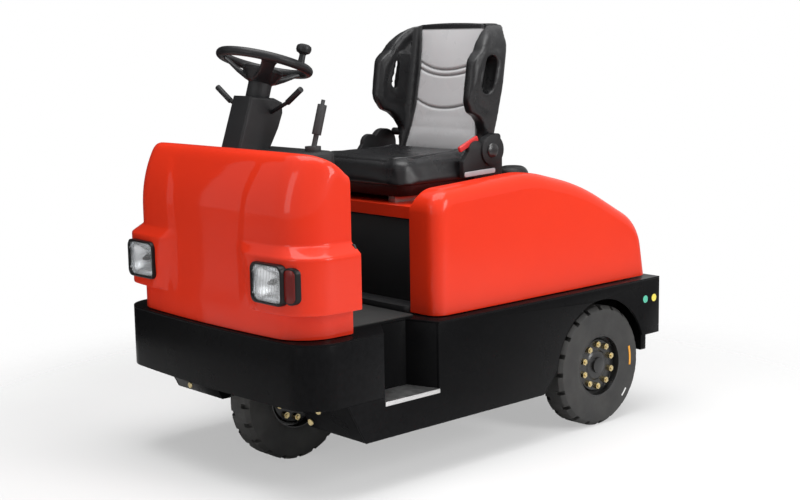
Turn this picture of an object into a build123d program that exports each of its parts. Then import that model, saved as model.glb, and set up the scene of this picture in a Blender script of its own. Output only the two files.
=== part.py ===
from build123d import *
import math
import os

# Three-wheeled electric tow tractor. The front faces -Y, the driver's left is +X and +Z is up.
# The origin is on the ground below the middle of the machine's length. All sizes are in mm.

# Overall size of the chassis; a cutting block reaches well past it
HALF_WIDTH = 485.0
NOSE_Y = -820.0
TAIL_Y = 770.0
WHEEL_RADIUS = 205.0
FLOOR_HEADROOM = 65.0
FLOOR_TOP = 2 * WHEEL_RADIUS + FLOOR_HEADROOM
REACH = 2000.0

# Wheels
TYRE_WIDTH = 98.0
TYRE_EDGE = 6.0
TYRE_CROWN = 2.0
TYRE_BEAD_RADIUS = 106.0
TYRE_BEAD_HEIGHT = 16.0
TYRE_WALL_DROP = 45.0
TREAD_DEPTH = 13.0
LUG_COUNT = 20
LUG_SLOT_WIDTH = 15.0
LUG_SLOT_REACH = 31.0
TREAD_SHOULDER = 12.0
RIM_WALL = 5.0
RIM_WIDTH = 86.0
RIM_DISC_INSET = 24.0
RIM_DISC_THICKNESS = 10.0
BOLT_FLANGE_RADIUS = 92.0
BOLT_FLANGE_THICKNESS = 8.0
FLANGE_SLOPE = 6.0
HUB_RADIUS = 46.0
HUB_PROUD = 12.0
HUB_CAP_RADIUS = 27.0
HUB_CAP_PROUD = 10.0
HUB_BACK = 18.0
FRONT_OVERHANG = 320.0
FRONT_AXLE_Y = NOSE_Y + FRONT_OVERHANG
REAR_OVERHANG = 310.0
REAR_AXLE_Y = TAIL_Y - REAR_OVERHANG
REAR_WHEEL_INSET = 54.0
REAR_WHEEL_X = HALF_WIDTH - REAR_WHEEL_INSET
RUNNING_GAP = 0.3

# Chassis plating
NOSE_BOW = 22.0
NOSE_CORNER = 105.0
FLOOR_PLATE = 6.0
BUMPER_BOTTOM = 283.0
BUMPER_PLATE = 10.0
BUMPER_LENGTH = 295.0
BUMPER_REAR_Y = NOSE_Y + BUMPER_LENGTH
SKIRT_PLATE = 8.0
SKIRT_BOTTOM = 160.0
SKIRT_SETBACK = 220.0
SKIRT_FRONT_Y = NOSE_Y + SKIRT_SETBACK
SKIRT_RAKE = 65.0
SKIRT_REAR_Y = 166.0
SKIRT_TAIL_BOTTOM = 276.0
ARCH_GAP = 24.0
ARCH_FLARE_RISE = 20.0
FRAME_PLATE = 8.0
WELL_HALF_WIDTH = 228.0
FRAME_BOX_REAR_Y = -250.0
TAIL_PLATE = 28.0
TAIL_BLOCK_INSET = 57.0
TAIL_BLOCK_HALF_WIDTH = HALF_WIDTH - TAIL_BLOCK_INSET
TAIL_BLOCK_BOTTOM = 205.0
RAIL_INSET = 175.0
RAIL_X = HALF_WIDTH - RAIL_INSET
RAIL_PLATE = 16.0
RAIL_BOTTOM = 300.0
RAIL_SADDLE = 55.0
RAIL_SADDLE_WALL = 12.0
RAIL_SLOPE = 90.0
RAIL_GAP = 5.0

# Step recess on each side
STEP_TOP = 270.0
STEP_LENGTH = 220.0
STEP_OUTER_REAR_Y = BUMPER_REAR_Y + STEP_LENGTH
STEP_DEPTH = 110.0
STEP_INNER_X = HALF_WIDTH - STEP_DEPTH
STEP_INNER_INSET = 85.0
STEP_INNER_FRONT_Y = BUMPER_REAR_Y + STEP_INNER_INSET
STEP_INNER_LENGTH = 100.0
STEP_INNER_REAR_Y = STEP_INNER_FRONT_Y + STEP_INNER_LENGTH
STEP_WALL = 5.0
STEP_LIP_DROP = 13.0
STEP_LIP = 3.0

# Battery bay
BAY_FRONT_Y = -220.0
BAY_PANEL = 5.0
BAY_PANEL_INSET = 81.0
BAY_PANEL_HALF_WIDTH = HALF_WIDTH - BAY_PANEL_INSET
SILL_INSET = 78.0
SILL_HALF_WIDTH = BAY_PANEL_HALF_WIDTH - SILL_INSET
SILL_DEPTH = 70.0
SILL_FRONT_Y = BAY_FRONT_Y - SILL_DEPTH
SILL_HEIGHT = 22.0
SILL_CORNER = 30.0
BATTERY_INSET = 85.0
BATTERY_HALF_WIDTH = HALF_WIDTH - BATTERY_INSET
BATTERY_SETBACK = 35.0
BATTERY_FRONT_Y = BAY_FRONT_Y + BATTERY_SETBACK
BATTERY_LENGTH = 345.0
BATTERY_HEIGHT = 560.0
BATTERY_CORNER = 12.0
BATTERY_SLACK = 15.0

# Front cowl: upright to the straight height, then leaning back, with a top rolled down to the rear
COWL_FLOOR_GAP = 3.0
COWL_WALL = 5.0
COWL_INSET = 48.0
COWL_HALF_WIDTH = HALF_WIDTH - COWL_INSET
COWL_SETBACK = 14.0
COWL_NOSE_Y = NOSE_Y + COWL_SETBACK
COWL_LENGTH = 206.0
COWL_REAR_Y = COWL_NOSE_Y + COWL_LENGTH
COWL_CORNER = 112.0
COWL_BOW = 22.0
COWL_HEIGHT = 529.0
COWL_TOP_Z = FLOOR_TOP + COWL_HEIGHT
COWL_LEAN_HEIGHT = 204.0
COWL_STRAIGHT_Z = COWL_TOP_Z - COWL_LEAN_HEIGHT
COWL_LEAN_RADIUS = 364.0
COWL_LEAN_SECTIONS = 4
COWL_LOFT_OVERRUN = 26.0
COWL_CROWN_SETBACK = 135.0
COWL_CROWN_Y = COWL_REAR_Y - COWL_CROWN_SETBACK
COWL_CROWN_RADIUS = 145.0
COWL_EDGE_RADIUS = 34.0
COWL_FIT = 0.5

# Lamp pods, which swell out of the cowl above the bumper, each with a sloping ledge on top
POD_INSET = 7.0
POD_HALF_WIDTH = HALF_WIDTH - POD_INSET
POD_PROUD = 4.0
POD_NOSE_Y = NOSE_Y - POD_PROUD
POD_CORNER = 105.0
POD_INNER_X = 205.0
POD_RISE = 77.0
POD_BOTTOM_Z = FLOOR_TOP + POD_RISE
POD_HEIGHT = 194.0
POD_TOP_Z = POD_BOTTOM_Z + POD_HEIGHT
POD_LEDGE_RISE = 30.0
POD_LEDGE_DEPTH = 19.0

# Lamps
LAMP_INSET = 152.0
LAMP_X = POD_HALF_WIDTH - LAMP_INSET
LAMP_RISE = 80.0
LAMP_Z = POD_BOTTOM_Z + LAMP_RISE
LAMP_WIDTH = 146.0
LAMP_HEIGHT = 126.0
LAMP_DEPTH = 58.0
LAMP_PROUD = 4.0
LAMP_FRONT_Y = POD_NOSE_Y - LAMP_PROUD
LAMP_CORNER = 16.0
LENS_CORNER = 13.0
LENS_MARGIN = 11.0
LENS_SET_BACK = 4.0
LENS_THICKNESS = 5.0
MARKER_WIDTH = 40.0
MARKER_DEPTH = 44.0
MARKER_HEIGHT = 88.0
MARKER_SET_BACK = 9.0
MARKER_CORNER = 22.0
LAMP_FIT = 0.5

# Dash, column and controls
DASH_PANEL = 5.0
DASH_FIT = 0.3
CONSOLE_LEFT_X = 262.0
CONSOLE_RIGHT_X = -58.0
CONSOLE_LENGTH = 104.0
CONSOLE_REAR_Y = COWL_REAR_Y + CONSOLE_LENGTH
CONSOLE_NOSE = 55.0
CONSOLE_DROP = 14.0
CONSOLE_TOP = COWL_TOP_Z - CONSOLE_DROP
CONSOLE_DEPTH = 120.0
CONSOLE_RADIUS = 28.0
CONSOLE_EDGE = 20.0
COLUMN_FIT = 1.0
COLUMN_HALF_WIDTH = 48.0
COLUMN_EDGE = 9.0
STEERING_TILT = 17.0
STEERING_SETBACK = 40.0
STEERING_CENTRE_Y = COWL_REAR_Y + STEERING_SETBACK
STEERING_RISE = 244.0
STEERING_CENTRE_Z = COWL_TOP_Z + STEERING_RISE
STEERING_RADIUS = 150.0
STEERING_RIM = 14.0
RIM_FLATS = 12
STEERING_DROP = 60.0
STEERING_HUB_RADIUS = 34.0
STEERING_HUB_FLARE = 62.0
STEERING_HUB_HEIGHT = 36.0
STEERING_HUB_LIP = 8.0
SPOKE_ANGLES = (90.0, 210.0, 330.0)
SPOKE_WIDTH = 34.0
SPOKE_THICKNESS = 14.0
NECK_RADIUS = 36.0
NECK_LENGTH = 52.0
KNOB_RADIUS = 23.0
KNOB_HEIGHT = 28.0
KNOB_EDGE = 9.0
KNOB_STEM_RADIUS = 11.0
KNOB_STEM = 24.0
KNOB_ANGLE = 15.0
STALK_RADIUS = 6.0
STALK_GRIP_RADIUS = 9.0
STALK_ROOT_X = 30.0
STALK_KNEE_X = 128.0
STALK_TIP_X = 193.0
STALK_KNEE_RISE = 38.0
STALK_TIP_RISE = 78.0
STALK_DROP = 154.0
STALK_RIGHT_AHEAD = 40.0
STALK_LEFT_AHEAD = 15.0
LEVER_X = 215.0
LEVER_SETBACK = 47.0
LEVER_LEAN = 16.6
LEVER_BASE_RADIUS = 24.0
LEVER_BASE_HEIGHT = 14.0
LEVER_ROD_RADIUS = 8.0
LEVER_GRIP_RADIUS = 14.0
LEVER_GRIP_START = 50.0
LEVER_GRIP_END = 140.0
LEVER_BUTTON_RADIUS = 6.0
LEVER_BUTTON = 15.0
MAT_THICKNESS = 5.0
MAT_MARGIN = 12.0
PEDAL_THICKNESS = 8.0
BRAKE_X = -60.0
BRAKE_WIDTH = 72.0
BRAKE_LENGTH = 62.0
BRAKE_RISE = 105.0
BRAKE_ANGLE = 50.0
BRAKE_ARM_RADIUS = 7.0
BRAKE_ARM_RISE = 80.0
DRIVE_X = 110.0
DRIVE_WIDTH = 62.0
DRIVE_LENGTH = 120.0
DRIVE_RISE = 49.0
DRIVE_ANGLE = 52.0
DRIVE_FOOT = 28.0
PEDAL_REACH = 76.0

# Turntable under the floor, fork and front spindle
STEM_RADIUS = 45.0
STEM_CLEARANCE = 0.05
STEM_SHORT = 3.0
TURNTABLE_RADIUS = 98.0
TURNTABLE_HEIGHT = 28.0
CROWN_THICKNESS = 18.0
CROWN_HALF_LENGTH = 62.0
LEG_GAP = 13.0
LEG_PLATE = 14.0
LEG_WIDTH = 84.0
FRONT_SPINDLE_RADIUS = 14.0
SPINDLE_FIT = 0.05
SPINDLE_NUT = 8.0

# Rear axle
AXLE_TUBE_RADIUS = 38.0
DIFF_RADIUS = 96.0
DIFF_WIDTH = 150.0
DIFF_CHAMFER = 22.0
DRUM_RADIUS = 82.0
DRUM_WIDTH = 42.0
MOTOR_RADIUS = 84.0
MOTOR_LENGTH = 150.0
MOTOR_RISE = 6.0

# Hood with the seat on it: front, crest, slope and tail are the corners of its side view
HOOD_INSET = 38.0
HOOD_HALF_WIDTH = HALF_WIDTH - HOOD_INSET
HOOD_WALL = 5.0
HOOD_FLOOR_GAP = 4.0
HOOD_OVERHANG = 56.0
HOOD_FRONT_Y = BAY_FRONT_Y - HOOD_OVERHANG
HOOD_REAR_GAP = 2.0
HOOD_REAR_Y = TAIL_Y - HOOD_REAR_GAP
HOOD_SHOULDER = 48.0
HOOD_HEIGHT = 382.0
HOOD_FRONT_Z = FLOOR_TOP + HOOD_HEIGHT
HOOD_BROW_RADIUS = 74.0
HOOD_CREST_Y = 175.0
HOOD_CREST_RISE = 27.0
HOOD_CREST_RADIUS = 420.0
HOOD_SLOPE_LENGTH = 343.0
HOOD_SLOPE_DROP = 35.0
HOOD_SLOPE_RADIUS = 900.0
HOOD_TAIL_LENGTH = 46.0
HOOD_TAIL_DROP = 189.0
HOOD_TAIL_RADIUS = 170.0
SEAT_DECK_DROP = 59.0
SEAT_DECK_Z = HOOD_FRONT_Z - SEAT_DECK_DROP
SEAT_DECK_INSET = 117.0
SEAT_DECK_HALF_WIDTH = HOOD_HALF_WIDTH - SEAT_DECK_INSET
SEAT_DECK_FLARE = 34.0
SEAT_DECK_WALL_HEIGHT = 90.0
SEAT_DECK_SETBACK = 42.0
SEAT_DECK_FRONT_Y = HOOD_FRONT_Y + SEAT_DECK_SETBACK
SEAT_DECK_REAR_Y = 300.0
DECK_LIP_DROP = 37.0
BAY_PANEL_GAP = 4.0
BAY_PANEL_TOP = SEAT_DECK_Z - DECK_LIP_DROP - BAY_PANEL_GAP
HINGE_SETBACK = 7.0
HINGE_Y = TAIL_Y + HINGE_SETBACK
HINGE_RISE = 7.0
HINGE_Z = FLOOR_TOP + HINGE_RISE
HINGE_RADIUS = 6.0
HINGE_X = 250.0
HINGE_HALF_WIDTH = 20.0
HINGE_LEAF = 4.0
HINGE_LEAF_WIDTH = 22.0
HINGE_LEAF_HEIGHT = 34.0
HINGE_FIXED_DROP = 40.0

# Seat
SEAT_HALF_WIDTH = 243.0
SEAT_FRONT_Y = -226.0
SEAT_REAR_Y = 168.0
SEAT_RAIL_X = 150.0
SEAT_RAIL_HALF_WIDTH = 16.0
SEAT_RAIL_HEIGHT = 20.0
SEAT_RAIL_INSET = 41.0
SEAT_RAIL_OVERRUN = 22.0
SEAT_PAN_DEPTH = 38.0
SEAT_PAN_LENGTH = 390.0
SEAT_PAN_TAPER = 64.0
SEAT_PAN_CORNER = 40.0
SEAT_CUSHION_BOTTOM = SEAT_DECK_Z + SEAT_RAIL_HEIGHT + SEAT_PAN_DEPTH
SEAT_CUSHION_HEIGHT = 88.0
SEAT_CUSHION_TOP = SEAT_CUSHION_BOTTOM + SEAT_CUSHION_HEIGHT
SEAT_CORNER = 60.0
SEAT_EDGE = 30.0
BACK_OVERHANG = 7.0
BACK_HALF_WIDTH = SEAT_HALF_WIDTH + BACK_OVERHANG
BACK_SINK = 4.0
BACK_BOTTOM = SEAT_CUSHION_TOP - BACK_SINK
BACK_HEIGHT = 418.0
BACK_TOP = BACK_BOTTOM + BACK_HEIGHT
BACK_BOTTOM_Y = 176.0
BACK_TILT = 8.5
BACK_THICKNESS = 62.0
BACK_WING_THICKNESS = 24.0
BACK_PANEL_HALF_WIDTH = 172.0
BACK_WING_REACH = 124.0
BACK_WING_TIP = 46.0
BACK_EDGE = 20.0
BACK_CORNER = 110.0
BACK_FOOT_HALF_WIDTH = 196.0
BACK_WAIST_DROP = 298.0
BACK_WAIST_INSET = 22.0
BACK_WIDEST_DROP = 188.0
GRIP_Y = 172.0
GRIP_DROP = 166.0
GRIP_Z = BACK_TOP - GRIP_DROP
GRIP_LENGTH = 124.0
GRIP_WIDTH = 50.0
GRIP_LEAN = 14.0
GRIP_WALL = 16.0
PIVOT_Y = 151.0
PIVOT_RISE = 4.0
PIVOT_Z = SEAT_CUSHION_TOP + PIVOT_RISE
PIVOT_RADIUS = 50.0
PIVOT_COVER = 26.0
HIP_RADIUS = 34.0
HIP_SETBACK = 70.0
BRACKET_THICKNESS = 18.0
BRACKET_WEB = 8.0
BRACKET_GAP = 1.0
BACK_BOSS_RADIUS = 13.0
BACK_BOSS_Y = 196.0
BACK_BOSS_RISE = 42.0
SEAT_GAP = 0.3
BUCKLE_Y = 91.0
BUCKLE_WIDTH = 26.0
BUCKLE_THICKNESS = 18.0
BUCKLE_HEIGHT = 55.0
RETRACTOR_Y = 538.0
RETRACTOR_RADIUS = 58.0
RETRACTOR_RISE = 376.0
RETRACTOR_DEPTH = 160.0
RETRACTOR_DOME = 32.0

# Tow coupling
JAW_Z = 350.0
JAW_HALF_WIDTH = 66.0
JAW_HALF_HEIGHT = 58.0
JAW_WALL = 17.0
JAW_LENGTH = 58.0
COUPLING_END_Y = TAIL_Y + JAW_LENGTH
COUPLING_FLANGE = 14.0
FLANGE_MARGIN_X = 30.0
FLANGE_MARGIN_Z = 12.0
TOW_PIN_RADIUS = 11.0
TOW_PIN_FIT = 0.5
TOW_PIN_INSET = 20.0
TOW_PIN_PROUD = 10.0
TOW_COLLAR = 6.0
TOW_COLLAR_WALL = 4.0
TOW_RING_RADIUS = 17.0
TOW_RING_WIRE = 4.0


def slab(x0, x1, y0, y1, z0, z1):
    size = Box(x1 - x0, y1 - y0, z1 - z0)
    return Pos((x0 + x1) / 2, (y0 + y1) / 2, (z0 + z1) / 2) * size


def side_plate(points, x0, x1):
    face = make_face(Polyline(*points, close=True))
    return extrude(Plane.YZ.offset(x0) * face, x1 - x0)


def plan_plate(points, z0, z1):
    face = make_face(Polyline(*points, close=True))
    return extrude(Plane.XY.offset(z0) * face, z1 - z0)


def front_plate(points, y0, y1):
    face = make_face(Polyline(*points, close=True))
    plane = Plane(origin=(0, y0, 0), x_dir=(-1, 0, 0), z_dir=(0, 1, 0))
    return extrude(plane * face, y1 - y0)


def rod(start, end, radius):
    a = Vector(*start)
    b = Vector(*end)
    plane = Plane(origin=a, z_dir=(b - a))
    return extrude(plane * Circle(radius), (b - a).length)


def both_sides(shape):
    return Compound(children=[shape, mirror(shape, about=Plane.YZ)])


def bow_face(half_width, nose, bow, corner, rear):
    left = (-half_width, nose + bow)
    right = (half_width, nose + bow)
    arc = ThreePointArc(left, (0, nose), right)
    sides = Polyline(right, (half_width, rear), (-half_width, rear), left)
    face = make_face([arc, *sides.edges()])
    corners = face.vertices().sort_by(Axis.Y)[0:2]
    return fillet(corners, corner)


# Chassis

def floor_outline(inset):
    return bow_face(HALF_WIDTH - inset, NOSE_Y + inset, NOSE_BOW, NOSE_CORNER - inset, TAIL_Y)


def step_plan(grow):
    outer = HALF_WIDTH + STEP_DEPTH / 4
    inner = STEP_INNER_X - grow
    slope_front = (STEP_INNER_FRONT_Y - BUMPER_REAR_Y) / (HALF_WIDTH - STEP_INNER_X)
    slope_rear = (STEP_OUTER_REAR_Y - STEP_INNER_REAR_Y) / (HALF_WIDTH - STEP_INNER_X)
    front_in = STEP_INNER_FRONT_Y - grow
    rear_in = STEP_INNER_REAR_Y + grow
    front_out = front_in - slope_front * (outer - inner)
    rear_out = rear_in + slope_rear * (outer - inner)
    return [(inner, front_in), (inner, rear_in), (outer, rear_out), (outer, front_out)]


def floor_plate():
    base = FLOOR_TOP - FLOOR_PLATE
    plate = extrude(Plane.XY.offset(base) * floor_outline(0), FLOOR_PLATE)
    x, y0 = BATTERY_HALF_WIDTH + BATTERY_SLACK, BATTERY_FRONT_Y - BATTERY_SLACK
    bay = slab(-x, x, y0, y0 + BATTERY_LENGTH + 2 * BATTERY_SLACK, 0, REACH)
    recess = plan_plate(step_plan(0), base - 1, FLOOR_TOP + 1)
    return plate - bay - recess - mirror(recess, about=Plane.YZ)


def front_bumper():
    height = FLOOR_TOP - FLOOR_PLATE - BUMPER_BOTTOM
    outer = extrude(Plane.XY.offset(BUMPER_BOTTOM) * floor_outline(0), height)
    inner = extrude(Plane.XY.offset(BUMPER_BOTTOM) * floor_outline(BUMPER_PLATE), height)
    behind = slab(-REACH, REACH, BUMPER_REAR_Y, REACH, 0, REACH)
    return outer - inner - behind


def side_skirt():
    top = FLOOR_TOP - FLOOR_PLATE
    points = [
        (SKIRT_FRONT_Y - SKIRT_RAKE, BUMPER_BOTTOM),
        (SKIRT_FRONT_Y, SKIRT_BOTTOM),
        (TAIL_Y - TAIL_PLATE, SKIRT_BOTTOM),
        (TAIL_Y - TAIL_PLATE, SKIRT_TAIL_BOTTOM),
        (TAIL_Y, SKIRT_TAIL_BOTTOM),
        (TAIL_Y, top),
        (BUMPER_REAR_Y, top),
        (BUMPER_REAR_Y, BUMPER_BOTTOM),
    ]
    plate = side_plate(points, HALF_WIDTH - SKIRT_PLATE, HALF_WIDTH)
    recess = plan_plate(step_plan(0), STEP_TOP - STEP_LIP, top + 1)
    arch_radius = WHEEL_RADIUS + ARCH_GAP
    axle_line = (REAR_AXLE_Y, WHEEL_RADIUS)
    inner, outer = HALF_WIDTH - 2 * SKIRT_PLATE, HALF_WIDTH + SKIRT_PLATE
    arch = rod((inner, *axle_line), (outer, *axle_line), arch_radius)
    flare = [
        (REAR_AXLE_Y - arch_radius, WHEEL_RADIUS + ARCH_FLARE_RISE),
        (SKIRT_REAR_Y, SKIRT_BOTTOM),
        (SKIRT_REAR_Y, 0),
        (REAR_AXLE_Y, 0),
        (REAR_AXLE_Y, WHEEL_RADIUS + ARCH_FLARE_RISE),
    ]
    below = slab(inner, outer, REAR_AXLE_Y, REACH, 0, SKIRT_TAIL_BOTTOM)
    return plate - recess - arch - side_plate(flare, inner, outer) - below


def step_well():
    top = FLOOR_TOP - FLOOR_PLATE
    floor = STEP_TOP - STEP_LIP
    outer = plan_plate(step_plan(STEP_WALL), floor - STEP_WALL, top)
    inner = plan_plate(step_plan(0), floor, top)
    trim = slab(HALF_WIDTH - SKIRT_PLATE, REACH, -REACH, 0, 0, REACH)
    ahead = slab(HALF_WIDTH - BUMPER_PLATE, HALF_WIDTH, -REACH, BUMPER_REAR_Y, BUMPER_BOTTOM, REACH)
    return outer - inner - trim - ahead


def step_tread():
    floor = STEP_TOP - STEP_LIP
    edge = HALF_WIDTH + STEP_LIP
    tread = plan_plate(step_plan(0), floor, STEP_TOP) - slab(edge, REACH, -REACH, 0, 0, REACH)
    front, rear = BUMPER_REAR_Y, STEP_OUTER_REAR_Y
    lip = slab(HALF_WIDTH, edge, front, rear, STEP_TOP - STEP_LIP_DROP, STEP_TOP)
    ahead = slab(0, REACH, -REACH, front, 0, REACH)
    return (tread - ahead - slab(0, REACH, rear, 0, 0, REACH)) + lip


def frame_box():
    x0, x1 = WELL_HALF_WIDTH, HALF_WIDTH - SKIRT_PLATE
    t = FRAME_PLATE
    top = FLOOR_TOP - FLOOR_PLATE
    y0, y1 = SKIRT_FRONT_Y - SKIRT_RAKE, FRAME_BOX_REAR_Y
    outer = [(y0, BUMPER_BOTTOM), (SKIRT_FRONT_Y, SKIRT_BOTTOM), (y1, SKIRT_BOTTOM), (y1, top), (y0, top)]
    inner = [
        (y0 + t, BUMPER_BOTTOM),
        (SKIRT_FRONT_Y + t, SKIRT_BOTTOM + t),
        (y1 - t, SKIRT_BOTTOM + t),
        (y1 - t, top + 1),
        (y0 + t, top + 1),
    ]
    box = side_plate(outer, x0, x1) - side_plate(inner, x0 + t, x1 + 1)
    wall_x = HALF_WIDTH - BUMPER_PLATE
    return box - slab(wall_x, HALF_WIDTH, y0 - 1, BUMPER_REAR_Y, BUMPER_BOTTOM, top)


def belly_plate():
    x = HALF_WIDTH - SKIRT_PLATE
    return slab(-x, x, FRAME_BOX_REAR_Y, SKIRT_REAR_Y, SKIRT_BOTTOM, SKIRT_BOTTOM + FRAME_PLATE)


def rail():
    top = FLOOR_TOP - FLOOR_PLATE
    base = SKIRT_BOTTOM + FRAME_PLATE
    saddle_z = WHEEL_RADIUS - AXLE_TUBE_RADIUS - RAIL_SADDLE_WALL
    y0 = BATTERY_FRONT_Y + BATTERY_LENGTH + RAIL_GAP
    points = [
        (y0, top),
        (y0, base),
        (y0 + RAIL_SLOPE, RAIL_BOTTOM),
        (REAR_AXLE_Y - RAIL_SADDLE, RAIL_BOTTOM),
        (REAR_AXLE_Y - RAIL_SADDLE, saddle_z),
        (REAR_AXLE_Y + RAIL_SADDLE, saddle_z),
        (REAR_AXLE_Y + RAIL_SADDLE, RAIL_BOTTOM),
        (TAIL_Y - TAIL_PLATE, RAIL_BOTTOM),
        (TAIL_Y - TAIL_PLATE, top),
    ]
    plate = side_plate(points, RAIL_X - RAIL_PLATE / 2, RAIL_X + RAIL_PLATE / 2)
    tube = rod((0, REAR_AXLE_Y, WHEEL_RADIUS), (HALF_WIDTH, REAR_AXLE_Y, WHEEL_RADIUS), AXLE_TUBE_RADIUS)
    return plate - tube


def rear_frame_plate():
    top = FLOOR_TOP - FLOOR_PLATE
    w, b = HALF_WIDTH - SKIRT_PLATE, TAIL_BLOCK_HALF_WIDTH
    points = [
        (-w, top), (-w, SKIRT_TAIL_BOTTOM), (-b, SKIRT_TAIL_BOTTOM), (-b, TAIL_BLOCK_BOTTOM),
        (b, TAIL_BLOCK_BOTTOM), (b, SKIRT_TAIL_BOTTOM), (w, SKIRT_TAIL_BOTTOM), (w, top),
    ]
    plate = front_plate(points, TAIL_Y - TAIL_PLATE, TAIL_Y)
    window_x = JAW_HALF_WIDTH - JAW_WALL
    window_z = JAW_HALF_HEIGHT - JAW_WALL
    window = slab(-window_x, window_x, 0, REACH, JAW_Z - window_z, JAW_Z + window_z)
    return plate - window


def battery_block():
    z0 = SKIRT_BOTTOM + FRAME_PLATE
    w = BATTERY_HALF_WIDTH
    y0 = BATTERY_FRONT_Y
    block = slab(-w, w, y0, y0 + BATTERY_LENGTH, z0, z0 + BATTERY_HEIGHT)
    return fillet(block.edges().filter_by(Axis.Z), BATTERY_CORNER)


def bay_front_panel():
    w = BAY_PANEL_HALF_WIDTH
    return slab(-w, w, BAY_FRONT_Y, BAY_FRONT_Y + BAY_PANEL, FLOOR_TOP, BAY_PANEL_TOP)


def bay_sill():
    w = SILL_HALF_WIDTH
    body = slab(-w, w, SILL_FRONT_Y, BAY_FRONT_Y, FLOOR_TOP, FLOOR_TOP + SILL_HEIGHT)
    corners = body.edges().filter_by(Axis.Z).sort_by(Axis.Y)[0:2]
    return fillet(corners, SILL_CORNER)


# Front cowl

def cowl_lean(z):
    rise = max(0.0, z - COWL_STRAIGHT_Z)
    return COWL_LEAN_RADIUS - math.sqrt(COWL_LEAN_RADIUS ** 2 - rise ** 2)


def crown_point(y, inset):
    radius = COWL_CROWN_RADIUS - inset
    drop = COWL_CROWN_RADIUS - math.sqrt(radius ** 2 - (y - COWL_CROWN_Y) ** 2)
    return (y, COWL_TOP_Z - drop)


def above_crown(inset):
    front, rear = crown_point(COWL_NOSE_Y, inset), crown_point(COWL_REAR_Y + 2, inset)
    arc = ThreePointArc(front, crown_point(COWL_CROWN_Y, inset), rear)
    sides = Polyline(rear, (rear[0], REACH), (front[0], REACH), front)
    return extrude(Plane.YZ.offset(-REACH / 2) * make_face([arc, *sides.edges()]), REACH)


def cowl_form(inset):
    step = (COWL_LEAN_HEIGHT + COWL_LOFT_OVERRUN) / COWL_LEAN_SECTIONS
    levels = [FLOOR_TOP + COWL_FLOOR_GAP]
    levels += [COWL_STRAIGHT_Z + i * step for i in range(COWL_LEAN_SECTIONS + 1)]
    sections = []
    w, corner, rear = COWL_HALF_WIDTH - inset, COWL_CORNER - inset, COWL_REAR_Y + COWL_CORNER
    for z in levels:
        nose = COWL_NOSE_Y + inset + cowl_lean(z)
        plan = bow_face(w, nose, COWL_BOW, corner, rear)
        sections.append(Plane.XY.offset(z) * plan)
    behind = slab(-REACH, REACH, COWL_REAR_Y, REACH, 0, REACH)
    body = loft(sections, ruled=True) - above_crown(inset) - behind
    lid = body.faces().sort_by(Axis.Z)[-1]
    rim = [e for e in lid.edges() if e.center().Y < COWL_REAR_Y - 1]
    return fillet(rim, COWL_EDGE_RADIUS - inset)


def pod_form(inset):
    w, nose, corner = POD_HALF_WIDTH - inset, POD_NOSE_Y + inset, POD_CORNER - inset
    low = bow_face(w, nose, COWL_BOW, corner, COWL_REAR_Y)
    d = POD_LEDGE_DEPTH
    high = bow_face(w - d, nose + d, COWL_BOW, corner - d, COWL_REAR_Y)
    foot, top = POD_BOTTOM_Z + inset, POD_TOP_Z - inset
    levels = [(foot, low), (top - POD_LEDGE_RISE, low), (top, high)]
    band = loft([Plane.XY.offset(z) * face for z, face in levels], ruled=True)
    x = POD_INNER_X + inset
    return band - slab(-x, x, -REACH, REACH, 0, REACH)


def front_cowl():
    shell = cowl_form(0) + pod_form(0) - cowl_form(COWL_WALL) - pod_form(COWL_WALL)
    for side in (-1, 1):
        shell = shell - lamp_block(side, LAMP_FIT) - marker_block(side, LAMP_FIT)
    return shell - column_form(COLUMN_FIT)


# Lamps

def lamp_plane(side, y):
    return Plane(origin=(side * LAMP_X, y, LAMP_Z), x_dir=(1, 0, 0), z_dir=(0, -1, 0))


def lamp_block(side, grow):
    w, h = LAMP_WIDTH + 2 * grow, LAMP_HEIGHT + 2 * grow
    face = lamp_plane(side, LAMP_FRONT_Y) * RectangleRounded(w, h, LAMP_CORNER)
    return extrude(face, -(LAMP_DEPTH + grow))


def lens_face(side, y):
    w, h = LAMP_WIDTH - 2 * LENS_MARGIN, LAMP_HEIGHT - 2 * LENS_MARGIN
    return lamp_plane(side, y) * RectangleRounded(w, h, LENS_CORNER)


def headlamp_housing(side):
    bowl = extrude(lens_face(side, LAMP_FRONT_Y), -(LAMP_DEPTH - LENS_MARGIN))
    return lamp_block(side, 0) - bowl


def headlamp_lens(side):
    return extrude(lens_face(side, LAMP_FRONT_Y + LENS_SET_BACK), -LENS_THICKNESS)


def marker_block(side, grow):
    x0 = LAMP_X + LAMP_WIDTH / 2
    x1 = x0 + MARKER_WIDTH + grow
    y0 = LAMP_FRONT_Y + MARKER_SET_BACK
    h = MARKER_HEIGHT / 2 + grow
    body = slab(x0, x1, y0, y0 + MARKER_DEPTH + grow, LAMP_Z - h, LAMP_Z + h)
    corner = body.edges().filter_by(Axis.Z).sort_by(Axis.Y)[0:2].sort_by(Axis.X)[-1]
    body = fillet(corner, MARKER_CORNER)
    return body if side > 0 else mirror(body, about=Plane.YZ)


# Dash and column

def dash_panel():
    y0, y1, inset = COWL_REAR_Y - DASH_PANEL - 1, COWL_REAR_Y - 1, COWL_WALL + DASH_FIT
    w = COWL_HALF_WIDTH - inset
    section = slab(-REACH, REACH, y0, y1, 0, REACH)
    panel = (cowl_form(inset) & section) + (pod_form(inset) & section)
    foot = slab(-w, w, y0, y1, FLOOR_TOP, FLOOR_TOP + 2 * COWL_FLOOR_GAP)
    return panel + foot - column_form(COLUMN_FIT)


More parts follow.
